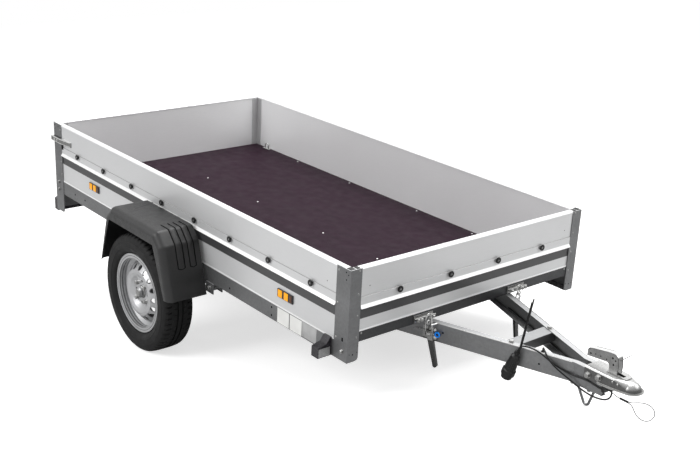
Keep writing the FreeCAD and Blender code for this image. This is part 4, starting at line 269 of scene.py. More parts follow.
# Inner faces are painted lighter than the outer ones: painted light
LIT_INNER_LOW, LIT_INNER_HIGH = (0.80, 0.802, 0.806), (0.90, 0.902, 0.906)
# Painted highlight near white on the foot lip, ledge and upward faces; painted shade in the groove
EDGE_HIGHLIGHT, GROOVE_SHADE, STRIPE = (0.86, 0.86, 0.86), (0.30, 0.30, 0.30), (0.042, 0.042, 0.044)
BOARD_GLEAM = 0.3


def board_finish(name, grain, axis, inner_low, inner_high, foot):
    """Satin anodised board with extrusion streaks, a dark film stripe outside and painted light.
    """
    paint = Paint(name, ANODISED, 0.36, BOARD_GLEAM)
    streaks = paint.noise(30, grain, 6)
    clouds = paint.noise(1.6, (1, 1, 1), 2)
    share = paint.math("ADD", paint.both(streaks, 0.5), paint.both(clouds, 0.5))
    outer = paint.mix(share, shade(ANODISED, 0.93), shade(ANODISED, 1.05))
    # Painted light: inner faces take a lighter colour than the outer ones
    inner = paint.mix(share, LIT_INNER_LOW, LIT_INNER_HIGH)
    outside = paint.math("SUBTRACT", 1, paint.band(axis, inner_low, inner_high))
    paint.tint(outside, inner, outer)
    edges = paint.math("MAXIMUM", paint.band("Z", foot, foot + LIP_HEIGHT),
                       paint.band("Z", STRIPE_TOP, LEDGE_TOP))
    # Painted highlight: upward faces, the foot lip and the ledge near white
    paint.cover(paint.math("MAXIMUM", paint.top_light_share(), paint.both(edges, outside)), EDGE_HIGHLIGHT)
    # Painted shade: the groove dark grey
    paint.cover(paint.both(paint.band("Z", GROOVE_FOOT, GROOVE_TOP), outside), GROOVE_SHADE)
    stripe = paint.both(paint.band("Z", STRIPE_FOOT, STRIPE_TOP), outside)
    paint.cover(stripe, STRIPE)
    bare = paint.math("SUBTRACT", 1, stripe)
    paint.join(paint.both(bare, BOARD_GLEAM), paint.shader.inputs["Metallic"])
    paint.rough(paint.noise(60, grain, 4), 0.3, 0.42)
    return paint.bump(paint.both(paint.noise(160, grain, 3), bare), 0.00004)


def moulded(name, colour, roughness, grain_scale, depth, spread=0.25, gloss=0.3):
    """Grained moulded plastic or rubber."""
    paint = Paint(name, colour, roughness, Specular_IOR_Level=gloss)
    paint.tint(paint.noise(8), shade(colour, 1 - spread), shade(colour, 1 + spread))
    paint.rough(paint.noise(35), roughness - 0.06, roughness + 0.08)
    return paint.bump(paint.cells(grain_scale).outputs["Distance"], depth)


def lens(name, colour, painted_glow=0.0):
    """Lamp plastic with a fine prism pattern behind a clear face, and a painted glow of the given
    strength.
    """
    paint = Paint(name, colour, 0.3, Coat_Weight=0.15, Coat_Roughness=0.08,
                  Specular_IOR_Level=0.25, Emission_Color=(*colour, 1), Emission_Strength=painted_glow)
    prisms = paint.cells(260).outputs["Distance"]
    paint.tint(prisms, shade(colour, 1.1), shade(colour, 0.6))
    return paint.bump(prisms, 0.0004)


def wheel_silver():
    silver = (0.42, 0.423, 0.43)
    paint = clouded("WheelSilver", silver, 0.42, 14, shade(silver, 0.92), shade(silver, 1.06), 0.7)
    paint.rough(paint.noise(90), 0.38, 0.48)
    return paint.bump(paint.noise(1300), 0.00002)


def wheel_shade():
    """Painted shade in the rim's steps, as thin dark rings."""
    step_shade = (0.10, 0.10, 0.102)
    return clouded("WheelShade", step_shade, 0.5, 14, shade(step_shade, 0.9), shade(step_shade, 1.1), 0.3)


def plywood_film():
    """Brown film on plywood, with a fine pressed weave."""
    film = (0.019, 0.008, 0.015)
    paint = Paint("PlywoodFilm", film, 0.5, Specular_IOR_Level=0.06)
    paint.tint(paint.noise(5, (1, 6, 1)), shade(film, 0.85), shade(film, 1.15))
    paint.rough(paint.noise(20), 0.46, 0.58)
    return paint.bump(paint.cells(420, (1, 1, 0.01)).outputs["Distance"], 0.00015)


def rope_coat():
    paint = clouded("CoatedRope", (0.012, 0.012, 0.012), 0.5, 900, (0.008, 0.008, 0.008),
                    (0.02, 0.02, 0.02), Specular_IOR_Level=0.15)
    return paint.bump(paint.noise(1500), 0.0001)


# Colours of upright faces, and the lighter ones painted on upward faces as painted top light
STEEL_SIDE, STEEL_LIT_TOP = (0.16, 0.162, 0.165), (0.56, 0.565, 0.57)
ZINC_SIDE, ZINC_LIT_TOP = (0.26, 0.26, 0.255), (0.80, 0.80, 0.79)
# Where the posts' inner angles lie at the rear, and the latches' levers, in metres
ANGLE_REAR, ANGLE_FRONT, ANGLE_SIDE = 0.0005, 0.2, 0.6505
LEVER_FOOT, LEVER_PIN = 0, 0.128
# The coupling's lower edge rises towards the ball, so its lip's painted highlight is a slanting
# band, in metres
LIP_SLOPE, LIP_TOP, LIP_START = 11 / 180, -0.0205, 3.118


def post_steel():
    """Corner posts, whose inner angles at the rear are painted lighter than their outer faces:
    painted light.
    """
    paint = galvanised("PostSteel", STEEL_SIDE, STEEL_LIT_TOP)
    lit_inner_angle = paint.both(paint.band("X", ANGLE_REAR, ANGLE_FRONT),
                             paint.band("Y", -ANGLE_SIDE, ANGLE_SIDE))
    return paint.cover(lit_inner_angle, (0.56, 0.562, 0.566))


def coupling_zinc():
    """The coupling, with a painted highlight on the flared lip along its lower edge."""
    paint = zinc_plate("CouplingZinc", (0.095, 0.095, 0.094), (0.62, 0.62, 0.615))
    rise = paint.both(paint.coordinate("X"), LIP_SLOPE)
    below = paint.math("LESS_THAN", paint.math("SUBTRACT", paint.coordinate("Z"), rise), LIP_TOP)
    lip = paint.both(below, paint.math("GREATER_THAN", paint.coordinate("X"), LIP_START))
    return paint.cover(lip, (0.36, 0.36, 0.355))


def latch_zinc():
    """The drawbar's latches, whose levers hang black below their pins."""
    paint = zinc_plate("LatchZinc", ZINC_SIDE, ZINC_LIT_TOP)
    return paint.cover(paint.band("Z", LEVER_FOOT, LEVER_PIN), (0.07, 0.07, 0.07))


STEEL = galvanised("Galvanised", STEEL_SIDE, STEEL_LIT_TOP)
ZINC = zinc_plate("ZincPlate", ZINC_SIDE, ZINC_LIT_TOP)
# A lighter copy of the zinc plate: painted highlight on edges and wires
ZINC_HIGHLIGHT = zinc_plate("ZincHighlight", (0.48, 0.48, 0.475), (0.80, 0.80, 0.79))
COUPLING = coupling_zinc()
RUBBER = moulded("TyreRubber", (0.006, 0.006, 0.0062), 0.6, 1400, 0.00005, 0.25, 0.22)
GUARD = moulded("GuardPlastic", (0.008, 0.008, 0.0083), 0.42, 700, 0.0002, 0.15, 0.5)
BLACK = moulded("BlackPlastic", (0.005, 0.005, 0.0053), 0.33, 1500, 0.00004)
GREY = moulded("GreyInsert", (0.20, 0.20, 0.20), 0.4, 1500, 0.00003)
CASE = moulded("LampCase", (0.022, 0.02, 0.024), 0.25, 1500, 0.00002)
LEAD = moulded("LeadRubber", (0.006, 0.006, 0.006), 0.4, 1600, 0.00003)
ROPE = rope_coat()
WHEEL = wheel_silver()
WHEEL_SHADE = wheel_shade()
# Painted glow: the amber reflectors and turn lenses glow though no lamp is lit
AMBER = lens("AmberLens", (1.0, 0.40, 0.0), 0.25)
DARK_AMBER = lens("DarkAmberLens", (0.10, 0.035, 0.012))
RED = lens("RedLens", (0.45, 0.01, 0.01))
CLEAR = lens("ClearLens", (0.34, 0.34, 0.34))
# Painted shade: dark discs and bars for the shade in holes and along the mudguards' seams
DARK = clouded("OpeningShade", (0.006, 0.006, 0.006), 0.7, 60, (0.004, 0.004, 0.004),
               (0.009, 0.009, 0.009), Specular_IOR_Level=0.0)
PAPER = clouded("BlankLabel", (0.74, 0.74, 0.72), 0.45, 12, (0.70, 0.70, 0.68),
                (0.80, 0.80, 0.78))
PLATE = clouded("BlankPlate", (0.42, 0.42, 0.42), 0.4, 25, (0.38, 0.38, 0.38),
                (0.48, 0.48, 0.48), 0.4)

# The nodes of each finish; all others are plain galvanised steel
FINISHES = (
    (board_finish("SideBoard", (1, 40, 40), "Y", -0.645, 0.645, 0.193), ["side_boards"]),
    (board_finish("FrontBoard", (40, 1, 40), "X", -1, 2.425, 0.242), ["front_board"]),
    (board_finish("GateBoard", (40, 1, 40), "X", 0.006, 3, 0.198), ["tailgate_board"]),
    (plywood_film(), ["floor_panel"]),
    (post_steel(), ["corner_posts"]),
    # Cross members: a darker copy of the galvanised steel, painted shade under the bed
    (galvanised("ShadedGalvanised", (0.05, 0.051, 0.053), (0.2, 0.2, 0.205)), ["cross_members"]),
    # Brace: a darker copy of the galvanised steel, painted shade
    (galvanised("BraceSteel", (0.10, 0.101, 0.103), (0.40, 0.405, 0.41)), ["drawbar_brace"]),
    (galvanised("ArmSteel", (0.185, 0.187, 0.19), (0.56, 0.565, 0.57)), ["drawbar_arms"]),
    (COUPLING, ["coupling_body"]),
    (zinc_plate("HandleZinc", (0.22, 0.22, 0.218), (0.85, 0.85, 0.84)), ["coupling_handle"]),
    (latch_zinc(), ["drawbar_latches"]),
    (ZINC, ["gate_latches", "bed_catches", "gate_catches", "lashing_rings"]),
    (RUBBER, ["tyre_right", "tyre_left"]),
    (WHEEL, ["rim_right", "rim_left"]),
    (GUARD, ["mudguards"]),
    (BLACK, ["tarp_knobs", "gate_knobs", "lead_holders", "power_plug", "cable_tie"]),
    (moulded("BluePlastic", (0.0, 0.26, 0.95), 0.3, 1200, 0.00003, 0.05), ["latch_clips"]),
    (CASE, ["side_reflectors", "lamps"]),
    (LEAD, ["plug_lead", "loop_lead"]),
    (ROPE, ["safety_lead", "safety_loop", "rope_ferrule"]),
)
finish_of = {name: paint for paint, names in FINISHES for name in names}
for name, node in frame["nodes"].items():
    node.data.materials.clear()
    node.data.materials.append(finish_of.get(name, STEEL).material)


# Pieces

BEND_STEPS = 5


def smooth_track(points, reach):
    """The points with each corner replaced by a short curve."""
    track = [points[0]]
    for before, corner, after in zip(points, points[1:], points[2:]):
        enter = corner + (before - corner) * reach
        leave = corner + (after - corner) * reach
        for k in range(BEND_STEPS + 1):
            share = k / BEND_STEPS
            track.append(enter.lerp(corner, share).lerp(corner.lerp(leave, share), share))
    track.append(points[-1])
    return track


def ways(track):
    """The direction of a track at each of its points."""
    ahead = track[1:] + track[-1:]
    behind = track[:1] + track[:-1]
    return [(b - a).normalized() for a, b in zip(behind, ahead)]


def square_to(axis):
    """Two unit vectors at right angles to a unit vector and to each other."""
    side = axis.orthogonal().normalized()
    return side, axis.cross(side)


def circle(centre, side, other, radius, steps):
    angles = (2 * math.pi * k / steps for k in range(steps))
    return [centre + (side * math.cos(a) + other * math.sin(a)) * radius for a in angles]


class Shape:
    """Faces of one piece, gathered in millimetres in the level frame."""

    def __init__(self):
        self.mesh = bmesh.new()

    def skin(self, sections, looped=False):
        """Quads between sections of equal count, with open ends filled."""
        rings = [[self.mesh.verts.new(p) for p in section] for section in sections]
        pairs = list(zip(rings, rings[1:]))
        if looped:
            pairs.append((rings[-1], rings[0]))
        for a, b in pairs:
            for i in range(len(a)):
                j = (i + 1) % len(a)
                self.mesh.faces.new((a[i], a[j], b[j], b[i]))
        if not looped:
            self.mesh.faces.new(rings[0][::-1])
            self.mesh.faces.new(rings[-1])

    def turned(self, at, axis, profile, steps=16):
        """A solid of revolution: profile is (radius, height along the axis) from its foot."""
        axis = Vector(axis).normalized()
        side, other = square_to(axis)
        self.skin([circle(Vector(at) + axis * height, side, other, radius, steps)
                   for radius, height in profile])

    def box(self, low, high, bevel=0.0):
        corners = [self.mesh.verts.new((x, y, z)) for x in (low[0], high[0])
                   for y in (low[1], high[1]) for z in (low[2], high[2])]
        faces = [self.mesh.faces.new([corners[i] for i in face]) for face in (
            (0, 1, 3, 2), (4, 6, 7, 5), (0, 4, 5, 1), (2, 3, 7, 6), (0, 2, 6, 4), (1, 5, 7, 3))]
        if bevel:
            edges = list({edge for face in faces for edge in face.edges})
            bmesh.ops.bevel(self.mesh, geom=edges, offset=bevel, segments=2, affect="EDGES",
                            profile=0.5)

    def side_box(self, side, x, y, z, bevel=0.0):
        """A box on one side of the trailer, with y measured out from its middle plane."""
        near, far = sorted((side * y[0], side * y[1]))
        self.box((x[0], near, z[0]), (x[1], far, z[1]), bevel)

    def bolt(self, at, axis, flats, height, washer=0.0):
        """A hexagon head with its chamfer, on a washer of that radius if one is given."""
        base = 0.0
        if washer:
            base = 1.6
            self.turned(at, axis, [(washer, 0), (washer, 1.2), (washer - 0.4, base)], 20)
        corner = flats / math.sqrt(3)
        self.turned(at, axis, [(corner, base), (corner, base + height * 0.85),
                               (corner * 0.86, base + height)], 6)

    def rivet(self, at, axis, radius):
        self.turned(at, axis, [(radius, 0), (radius * 0.92, radius * 0.3),
                               (radius * 0.6, radius * 0.52), (radius * 0.2, radius * 0.6)], 14)

    def tube(self, points, radius, steps=8, reach=0.32):
        """A round bar through points, with its bends drawn smooth."""
        track = smooth_track([Vector(p) for p in points], reach)
        side = (track[1] - track[0]).orthogonal().normalized()
        sections = []
        for point, way in zip(track, ways(track)):
            side = (side - way * side.dot(way)).normalized()
            sections.append(circle(point, side, way.cross(side), radius, steps))
        self.skin(sections)

    def hoop(self, at, axis, radius, bar, parts=24):
        """A round ring of round bar."""
        axis = Vector(axis).normalized()
        side, other = square_to(axis)
        middle = circle(Vector(at), side, other, radius, parts)
        self.skin([circle(point, (point - Vector(at)).normalized(), axis, bar, 8)
                   for point in middle], looped=True)

    def bead(self, points, across, half, height):
        """A rounded bead that lies on a surface: points follow its middle line."""
        track = smooth_track([Vector(p) for p in points], 0.12)
        across = Vector(across).normalized()
        sunk, arc = 0.5, [math.pi * k / 6 for k in range(7)]
        sections = []
        for i, (point, way) in enumerate(zip(track, ways(track))):
            out = way.cross(across).normalized()
            rise = 0 if i in (0, len(track) - 1) else height
            sections.append([point + across * half * math.cos(a)
                             + out * (rise * math.sin(a) - sunk) for a in arc])
        self.skin(sections)

    def hole(self, at, axis, radius):
        """A dark mouth of painted shade that lies just on the sheet."""
        self.turned(at, axis, [(radius, 0), (radius, 0.15)])


def piece(name, shape, body, paint, smooth=35):
    mesh = bpy.data.meshes.new(name)
    bmesh.ops.recalc_face_normals(shape.mesh, faces=shape.mesh.faces)
    shape.mesh.to_mesh(mesh)
    shape.mesh.free()
    mesh.transform(STAND)
    mesh.materials.append(paint.material)
    for polygon in mesh.polygons:
        polygon.use_smooth = True
    mesh.set_sharp_from_angle(angle=math.radians(smooth))
    item = new_object(name, mesh)
    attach(item, body)
    return item


# Leads: the routes' own points, from where each leaves the trailer; diameters in metres

LEAD_DIAMETER, ROPE_DIAMETER = 0.0065, 0.003
PLUG_LEAD = [
    (2814, -133, 192), (2820.6, -130.6, 216), (2849, -112, 216.5), (2884, -93, 205),
    (2918, -80, 184), (2955, -64.5, 164), (2993, -50.5, 153), (3027, -45, 151),
    (3056, -44.3, 155), (3086, -44, 156), (3110, -43.9, 152.5), (3128, -43.8, 150),
    (3146, -43.8, 150)]
LOOP_LEAD = [
    (3160, -35, 166), (3170, -35, 166), (3181.5, -36.5, 158), (3186, -39.5, 145),
    (3181, -41.5, 129), (3166, -43.5, 116), (3139, -45.5, 109), (3106, -46.5, 106.5),
    (3071, -47, 110), (3037, -48.5, 118.5), (3006, -53.5, 131.5), (2975, -67, 149.5),
    (2946, -83, 173), (2924, -92, 198), (2908, -91.5, 217), (2893, -83.5, 223),
    (2884, -74, 214.7), (2884, -74, 203.7)]
SAFETY_LEAD = [
    (3160, -31, 150), (3179, -31, 150), (3200, -31, 142), (3217.5, -31, 142)]
SAFETY_LOOP = [
    (3251.5, -31, 144.1), (3263, -31, 144.1), (3283, -31, 154), (3308, -31, 165.5),
    (3334, -31.5, 171), (3356, -31.5, 165.5), (3367, -32, 148.5), (3361, -32, 126.5),
    (3344, -32, 108.5), (3321, -32, 100.5), (3299, -31.5, 104.5), (3283, -31, 118.5),
    (3273, -31, 132), (3264, -31, 138.7), (3251.5, -31, 139.9)]


def cord(name, node, points, diameter, paint):
    """A free lead of the drawbar as one smooth spline over its route's points."""
    curve = bpy.data.curves.new(name, "CURVE")
    curve.dimensions = "3D"
    spline = curve.splines.new("NURBS")
    spline.points.add(len(points) - 1)
    for target, point in zip(spline.points, points):
        target.co = (*level(*point), 1)
    spline.order_u = 3
    spline.use_endpoint_u = True
    curve.resolution_u = 12
    curve.bevel_depth = diameter / 2
    curve.bevel_resolution = 5
    curve.use_fill_caps = True
    curve.materials.append(paint.material)
    item = new_object(name, curve)
    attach(item, "drawbar")
    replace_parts(item, node)


cord("PlugCable", "plug_lead", PLUG_LEAD[::-1], LEAD_DIAMETER, LEAD)
cord("LoopCable", "loop_lead", LOOP_LEAD, LEAD_DIAMETER, LEAD)
cord("SafetyRope", "safety_lead", SAFETY_LEAD, ROPE_DIAMETER, ROPE)
cord("SafetyLoop", "safety_loop", SAFETY_LOOP, ROPE_DIAMETER, ROPE)


# Tyres: ribs with cut shoulders, and a plain sidewall with raised rings

AXLE_X, WHEEL_Y = 1180, 774.5
TYRE_RADIUS, BEAD_RADIUS, FLANGE_RADIUS = 273.5, 165.3, 184.5
TREAD_HALF, CROWN_DROP = 57, 3.2
RIB_EDGES = (-57, -50, -45, -40, -23, 0, 23, 40, 45, 50, 57)
GROOVES = (-33, -12, 12, 33)
GROOVE_HALF, GROOVE_DRAFT, GROOVE_DEPTH = 3.6, 0.6, 6.5
# (radius, distance from the wheel's middle plane) up the sidewall, from bead to tread
SIDEWALL = [(BEAD_RADIUS, 56)] + [(FLANGE_RADIUS + rise, out) for rise, out in (
    (-2, 56.7), (2, 59), (5, 64.5), (10, 68.5), (18, 72.5), (26, 75.2), (27, 76.4), (30, 76.9),
    (31, 76.3), (42, 77.0), (52, 76.4), (53, 77.2), (56, 76.9), (57, 75.7))] + [
    (254, 73.0), (261, 69.0), (266, 64.5), (268.8, 60)]
# Each of the blocks round the tyre has a slot in its shoulders and a notch in its inner ribs
BLOCKS, BLOCK_STEPS = 60, 8
SLOT_STEPS, SLOT_FROM, SLOT_DEPTH = 2, 37.2, 5.5
BUTTRESS_RADIUS, BUTTRESS_DEPTH = 262, 3.5
NOTCH_STEP, NOTCH_FROM, NOTCH_TO, NOTCH_DEPTH = 4, 16, 29, 3.0
# The slots lean by a share of a block, from the lean's start to the end of its width
LEAN, LEAN_FROM, LEAN_WIDTH = 0.14, 36, 22
WALL, RIB, SUNK = range(3)


def tyre_profile():
    """(radius, distance from the middle plane, kind of surface) from one bead to the other."""
    marks = set(RIB_EDGES)
    for groove in GROOVES:
        for edge in (GROOVE_HALF, GROOVE_HALF + GROOVE_DRAFT):
            marks.update((groove - edge, groove + edge))
    profile = [(radius, -y, WALL) for radius, y in SIDEWALL]
    for y in sorted(marks):
        crown = TYRE_RADIUS - CROWN_DROP * (abs(y) / TREAD_HALF) ** 3
        if any(abs(y - groove) <= GROOVE_HALF for groove in GROOVES):
            profile.append((crown - GROOVE_DEPTH, y, SUNK))
        else:
            profile.append((crown, y, RIB))
    return profile + [(radius, y, WALL) for radius, y in reversed(SIDEWALL)]


def tread_cut(radius, y, kind, phase):
    """How deep the tyre is cut at a point of its tread or shoulder."""
    in_slot = phase < SLOT_STEPS and abs(y) > SLOT_FROM
    if in_slot and kind == RIB:
        return SLOT_DEPTH
    if in_slot and radius > BUTTRESS_RADIUS:
        return BUTTRESS_DEPTH
    if kind == RIB and phase == NOTCH_STEP and NOTCH_FROM < abs(y) < NOTCH_TO:
        return NOTCH_DEPTH
    return 0


def slot_lean(y):
    share = min(1, max(0, (abs(y) - LEAN_FROM) / LEAN_WIDTH))
    return math.copysign(LEAN * share, y)


def tyre(name, node, body, side):
    profile = tyre_profile()
    steps = BLOCKS * BLOCK_STEPS
    sections = []
    for i in range(steps):
        section = []
        for radius, y, kind in profile:
            reach = radius - tread_cut(radius, y, kind, i % BLOCK_STEPS)
            angle = 2 * math.pi * (i + BLOCK_STEPS * slot_lean(y)) / steps
            section.append((AXLE_X + reach * math.cos(angle), side * WHEEL_Y + y,
                            reach * math.sin(angle)))
        sections.append(section)
    shape = Shape()
    shape.skin(sections, looped=True)
    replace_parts(piece(name, shape, body, RUBBER, 28), node)


tyre("TreadTyreRight", "tyre_right", "wheel_right", -1)
tyre("TreadTyreLeft", "tyre_left", "wheel_left", 1)


# Rivets, punched holes and bolts of the bed

POST_FACE, BOARD_FACE, BED_FRONT, BOARD_FRONT, FLOOR_TOP = 653, 650, 2434, 2431, 212
# Radii of rivets, of the punched holes in posts, boards and rails, and of the floor's screws
RIVET, POST_HOLE, BOARD_HOLE, RAIL_HOLE, SCREW = 4.2, 2.8, 2.2, 4.6, 4.5
FLOOR_SCREWS_X, FLOOR_SCREWS_Y = (462, 926, 1461, 1851), (-603, 0, 603)
# Bolt heads: width over flats, height and radius of the washer
POST_BOLT, SPRING_BOLT, U_BOLT_NUT, GUARD_BOLT = (13, 6, 9), (17, 8, 12), (15, 7, 10), (13, 5, 8)
PIVOT_HEAD, PIVOT_NUT = (24, 9, 17), (24, 11, 17)
rivets, openings, bolts = Shape(), Shape(), Shape()


def front_post(side):
    """Rivets, holes and bolt on the post's outer face, and those of its flange in front."""
    out = (0, side, 0)
    for z in (482, 352, 211):
        rivets.rivet((2366, side * POST_FACE, z), out, RIVET)
    for z in (491, 398, 311, 222):
        rivets.rivet((BED_FRONT, side * 611, z), AHEAD, RIVET)
    rivets.rivet((BOARD_FRONT, side * 585, 233), AHEAD, RIVET)
    for x, z in ((2408, 486), (2421, 479), (2410, 457)):
        openings.hole((x, side * POST_FACE, z), out, POST_HOLE)
    # an upright slot, made of three mouths
    for z in (209, 213, 217):
        openings.hole((2403, side * POST_FACE, z), out, 4.4)
    for y, z, radius in ((641, 158, 1.8), (625, 155, 3.2), (604, 160, 2.4)):
        openings.hole((BED_FRONT, side * y, z), AHEAD, radius)
    bolts.bolt((2404, side * POST_FACE, 164), out, *POST_BOLT)


def rear_post(side):
    out = (0, side, 0)
    for z in (182, 142):
        bolts.bolt((37, side * POST_FACE, z), out, *POST_BOLT)
    for z in (470, 300, 232):
        rivets.rivet((72, side * POST_FACE, z), out, RIVET)
    for x, z in ((14, 487), (14, 468), (50, 487)):
        openings.hole((x, side * POST_FACE, z), out, POST_HOLE)


def boards_and_rail(side):
    out = (0, side, 0)
    openings.hole((2297, side * BOARD_FACE, 414), out, BOARD_HOLE)
    openings.hole((BOARD_FRONT, side * 555, 420), AHEAD, BOARD_HOLE)
    for x, z in ((213, 158), (322, 158), (1648, 148), (1951, 175), (1951, 140)):
        openings.hole((x, side * BOARD_FACE, z), out, RAIL_HOLE)


# Spring bolts, the drawbar's pivots with heads outside and nuts inside, and the axle's U-bolts
SPRING_BOLTS, SPRING_OUTER, SPRING_INNER = ((1500, 98), (874, 71.1)), 656, 606
PIVOT_X, PIVOT_Z, PIVOT_OUTER, PIVOT_INNER = 1912, 159.7, 457, 376
U_BOLTS_X, U_BOLTS_Y, U_BOLT_FOOT = (1148, 1212), (605, 657), -31
GUARD_BOLTS_X, GUARD_BOLTS_Z, GUARD_BOLT_FACE = (1125, 1245), (145, 172), 654


def frame_bolts(side):
    out, inwards = (0, side, 0), (0, -side, 0)
    for x, z in SPRING_BOLTS:
        bolts.bolt((x, side * SPRING_OUTER, z), out, *SPRING_BOLT)
        bolts.bolt((x, side * SPRING_INNER, z), inwards, *SPRING_BOLT)
    bolts.bolt((PIVOT_X, side * PIVOT_OUTER, PIVOT_Z), out, *PIVOT_HEAD)
    bolts.bolt((PIVOT_X, side * PIVOT_INNER, PIVOT_Z), inwards, *PIVOT_NUT)
    for x in U_BOLTS_X:
        for y in U_BOLTS_Y:
            bolts.bolt((x, side * y, U_BOLT_FOOT), DOWN, *U_BOLT_NUT)
    for x in GUARD_BOLTS_X:
        for z in GUARD_BOLTS_Z:
            bolts.bolt((x, side * GUARD_BOLT_FACE, z), out, *GUARD_BOLT)


for side in SIDES:
    front_post(side)
    rear_post(side)
    boards_and_rail(side)
    frame_bolts(side)
for x in FLOOR_SCREWS_X:
    for y in FLOOR_SCREWS_Y:
        rivets.rivet((x, y, FLOOR_TOP), UP, SCREW)
piece("BodyRivets", rivets, "bed", ZINC)
piece("BodyOpenings", openings, "bed", DARK)
piece("FrameBolts", bolts, "bed", ZINC)


# Labels and type plate, all blank, on the right side rail only

RIGHT = -1
LABEL_FACE, PLATE_FACE = 650.5, 650.7
labels, plate = Shape(), Shape()
for span in ((1991, 2069), (2075, 2152)):
    labels.side_box(RIGHT, span, (BOARD_FACE, LABEL_FACE), (125, 190))
plate.side_box(RIGHT, (2155, 2246), (BOARD_FACE, PLATE_FACE), (128, 192), 0.3)
piece("RailLabels", labels, "bed", PAPER)
piece("TypePlate", plate, "bed", PLATE)


# Black end plugs in the board corners, and black pads of painted shade in the gaps by the rear
# posts

plugs_and_gap_shade = Shape()
for side in SIDES:
    plugs_and_gap_shade.side_box(side, (2404, 2430), (627, 649.5), (492, 502), 2)
    plugs_and_gap_shade.side_box(side, (2409, 2430), (604, 622), (494, 502), 2)
    # Painted shade: a black pad in the gap beside the rear post
    plugs_and_gap_shade.side_box(side, (86, 98), (650, 658), (372, 400), 2)
piece("BoardPlugsAndGapShade", plugs_and_gap_shade, "bed", BLACK)


# Reflectors: two amber fields and a brown one in a dark case

REFLECTORS_BACK, REFLECTOR_FACE = (383, 1992), (654.5, 655.4)
AMBER_SPANS, AMBER_LEVELS = ((4, 32), (44, 71)), (241, 273)
BROWN_SPAN, BROWN_LEVELS = (79, 95), (242, 272)
amber_fields, brown_fields = Shape(), Shape()
for side in SIDES:
    for back in REFLECTORS_BACK:
        for start, end in AMBER_SPANS:
            amber_fields.side_box(side, (back + start, back + end), REFLECTOR_FACE,
                                  AMBER_LEVELS, 0.4)
        brown_fields.side_box(side, (back + BROWN_SPAN[0], back + BROWN_SPAN[1]),
                              REFLECTOR_FACE, BROWN_LEVELS, 0.4)
piece("AmberLenses", amber_fields, "bed", AMBER)
piece("DarkLenses", brown_fields, "bed", DARK_AMBER)


# Lamp lenses: one field in front; at the rear red, clear, amber and red from the inside out

FRONT_LENS, FRONT_SPAN, FRONT_LEVELS = (2337.5, 2341), (658, 711), (126, 160)
REAR_LENS, REAR_LEVELS = (-51.5, -49), (15, 67)
front, red, amber, clear = Shape(), Shape(), Shape(), Shape()
REAR_FIELDS = ((red, (445, 470)), (clear, (473, 509)), (amber, (512, 557)), (red, (560, 638)))
for side in SIDES:
    front.side_box(side, FRONT_LENS, FRONT_SPAN, FRONT_LEVELS, 1)
    for field, span in REAR_FIELDS:
        field.side_box(side, REAR_LENS, span, REAR_LEVELS, 0.6)
piece("FrontLenses", front, "bed", CLEAR)
piece("RedLenses", red, "bed", RED)
piece("TurnLenses", amber, "bed", AMBER)
piece("ReverseLenses", clear, "bed", CLEAR)


# Grey inserts in the cover knobs: eight on each side, four in front and four on the tailgate

KNOB_LEVEL, SIDE_KNOB_FIRST, SIDE_KNOB_STEP, END_KNOB_STEP = 374, 267, 277, 271
SIDE_KNOB_FACE, FRONT_KNOB_FACE, GATE_KNOB_FACE = 661.2, 2442.2, -10.2
INSERT = [(4.2, 0), (3.8, 0.7), (1.6, 0.9), (1.2, 0.3)]
inserts, gate_inserts = Shape(), Shape()
for number in range(8):
    x = SIDE_KNOB_FIRST + SIDE_KNOB_STEP * number
    for side in SIDES:
        inserts.turned((x, side * SIDE_KNOB_FACE, KNOB_LEVEL), (0, side, 0), INSERT, 12)
for number in range(4):
    y = (number - 1.5) * END_KNOB_STEP
    inserts.turned((FRONT_KNOB_FACE, y, KNOB_LEVEL), AHEAD, INSERT, 12)
    gate_inserts.turned((GATE_KNOB_FACE, y, KNOB_LEVEL), BEHIND, INSERT, 12)
piece("KnobInserts", inserts, "bed", GREY)
piece("GateKnobInserts", gate_inserts, "tailgate", GREY)


# Round bosses of the bed's catches over the drawbar

bosses = Shape()
for side in SIDES:
    for y, z, radius in ((309, 221, 8.5), (291, 220, 8.5), (229, 221, 6)):
        bosses.turned((2452.6, side * y, z), AHEAD,
                      [(radius, 0), (radius * 0.92, 3.5), (radius * 0.6, 6), (1, 7)], 18)
piece("CatchBolts", bosses, "bed", ZINC)


# Tailgate: rivets of its hinges and catches, and the turned edges of the latch levers

HINGES_Y, HINGE_RIVET_OUT = (-400, 0, 400), 18
LEVER_LEVEL, LEVER_HALF, LEVER_FACE = 417, 10.5, 667.4
# (place along the bed, distance from its middle plane) of a lever's turned edge
LEVER_EDGE = ((-5, 666.6), (98, LEVER_FACE), (104, 666.8), (186, 655))
hinge_rivets, gate_rivets, levers = Shape(), Shape(), Shape()
for y in HINGES_Y:
    for side in SIDES:
        at = y + side * HINGE_RIVET_OUT
        hinge_rivets.rivet((0, at, 150), BEHIND, RIVET)
        gate_rivets.rivet((-3, at, 236), BEHIND, RIVET)
for side in SIDES:
    for y in (570, 595):
        gate_rivets.rivet((-3.6, side * y, LEVER_LEVEL), BEHIND, RIVET)
    for z in (LEVER_LEVEL - LEVER_HALF, LEVER_LEVEL + LEVER_HALF):
        levers.tube([(x, side * y, z) for x, y in LEVER_EDGE], 1.9)
    for x in (30, 62):
        levers.rivet((x, side * LEVER_FACE, LEVER_LEVEL), (0, side, 0), 5)
    levers.side_box(side, (88, 100), (653.2, 661.5), (404, 430), 1)
piece("HingeRivets", hinge_rivets, "bed", ZINC)
piece("GateRivets", gate_rivets, "tailgate", ZINC)
# The levers' turned edges are in the lighter zinc: painted highlight
piece("LeverEdges", levers, "bed", ZINC_HIGHLIGHT)


# Mudguards: pressed ribs over the front slope, a bead across the top and painted shade along the
# ribs' seams

GUARD_MID, GUARD_TOP, GUARD_SHOULDER = 1185, 358, 303
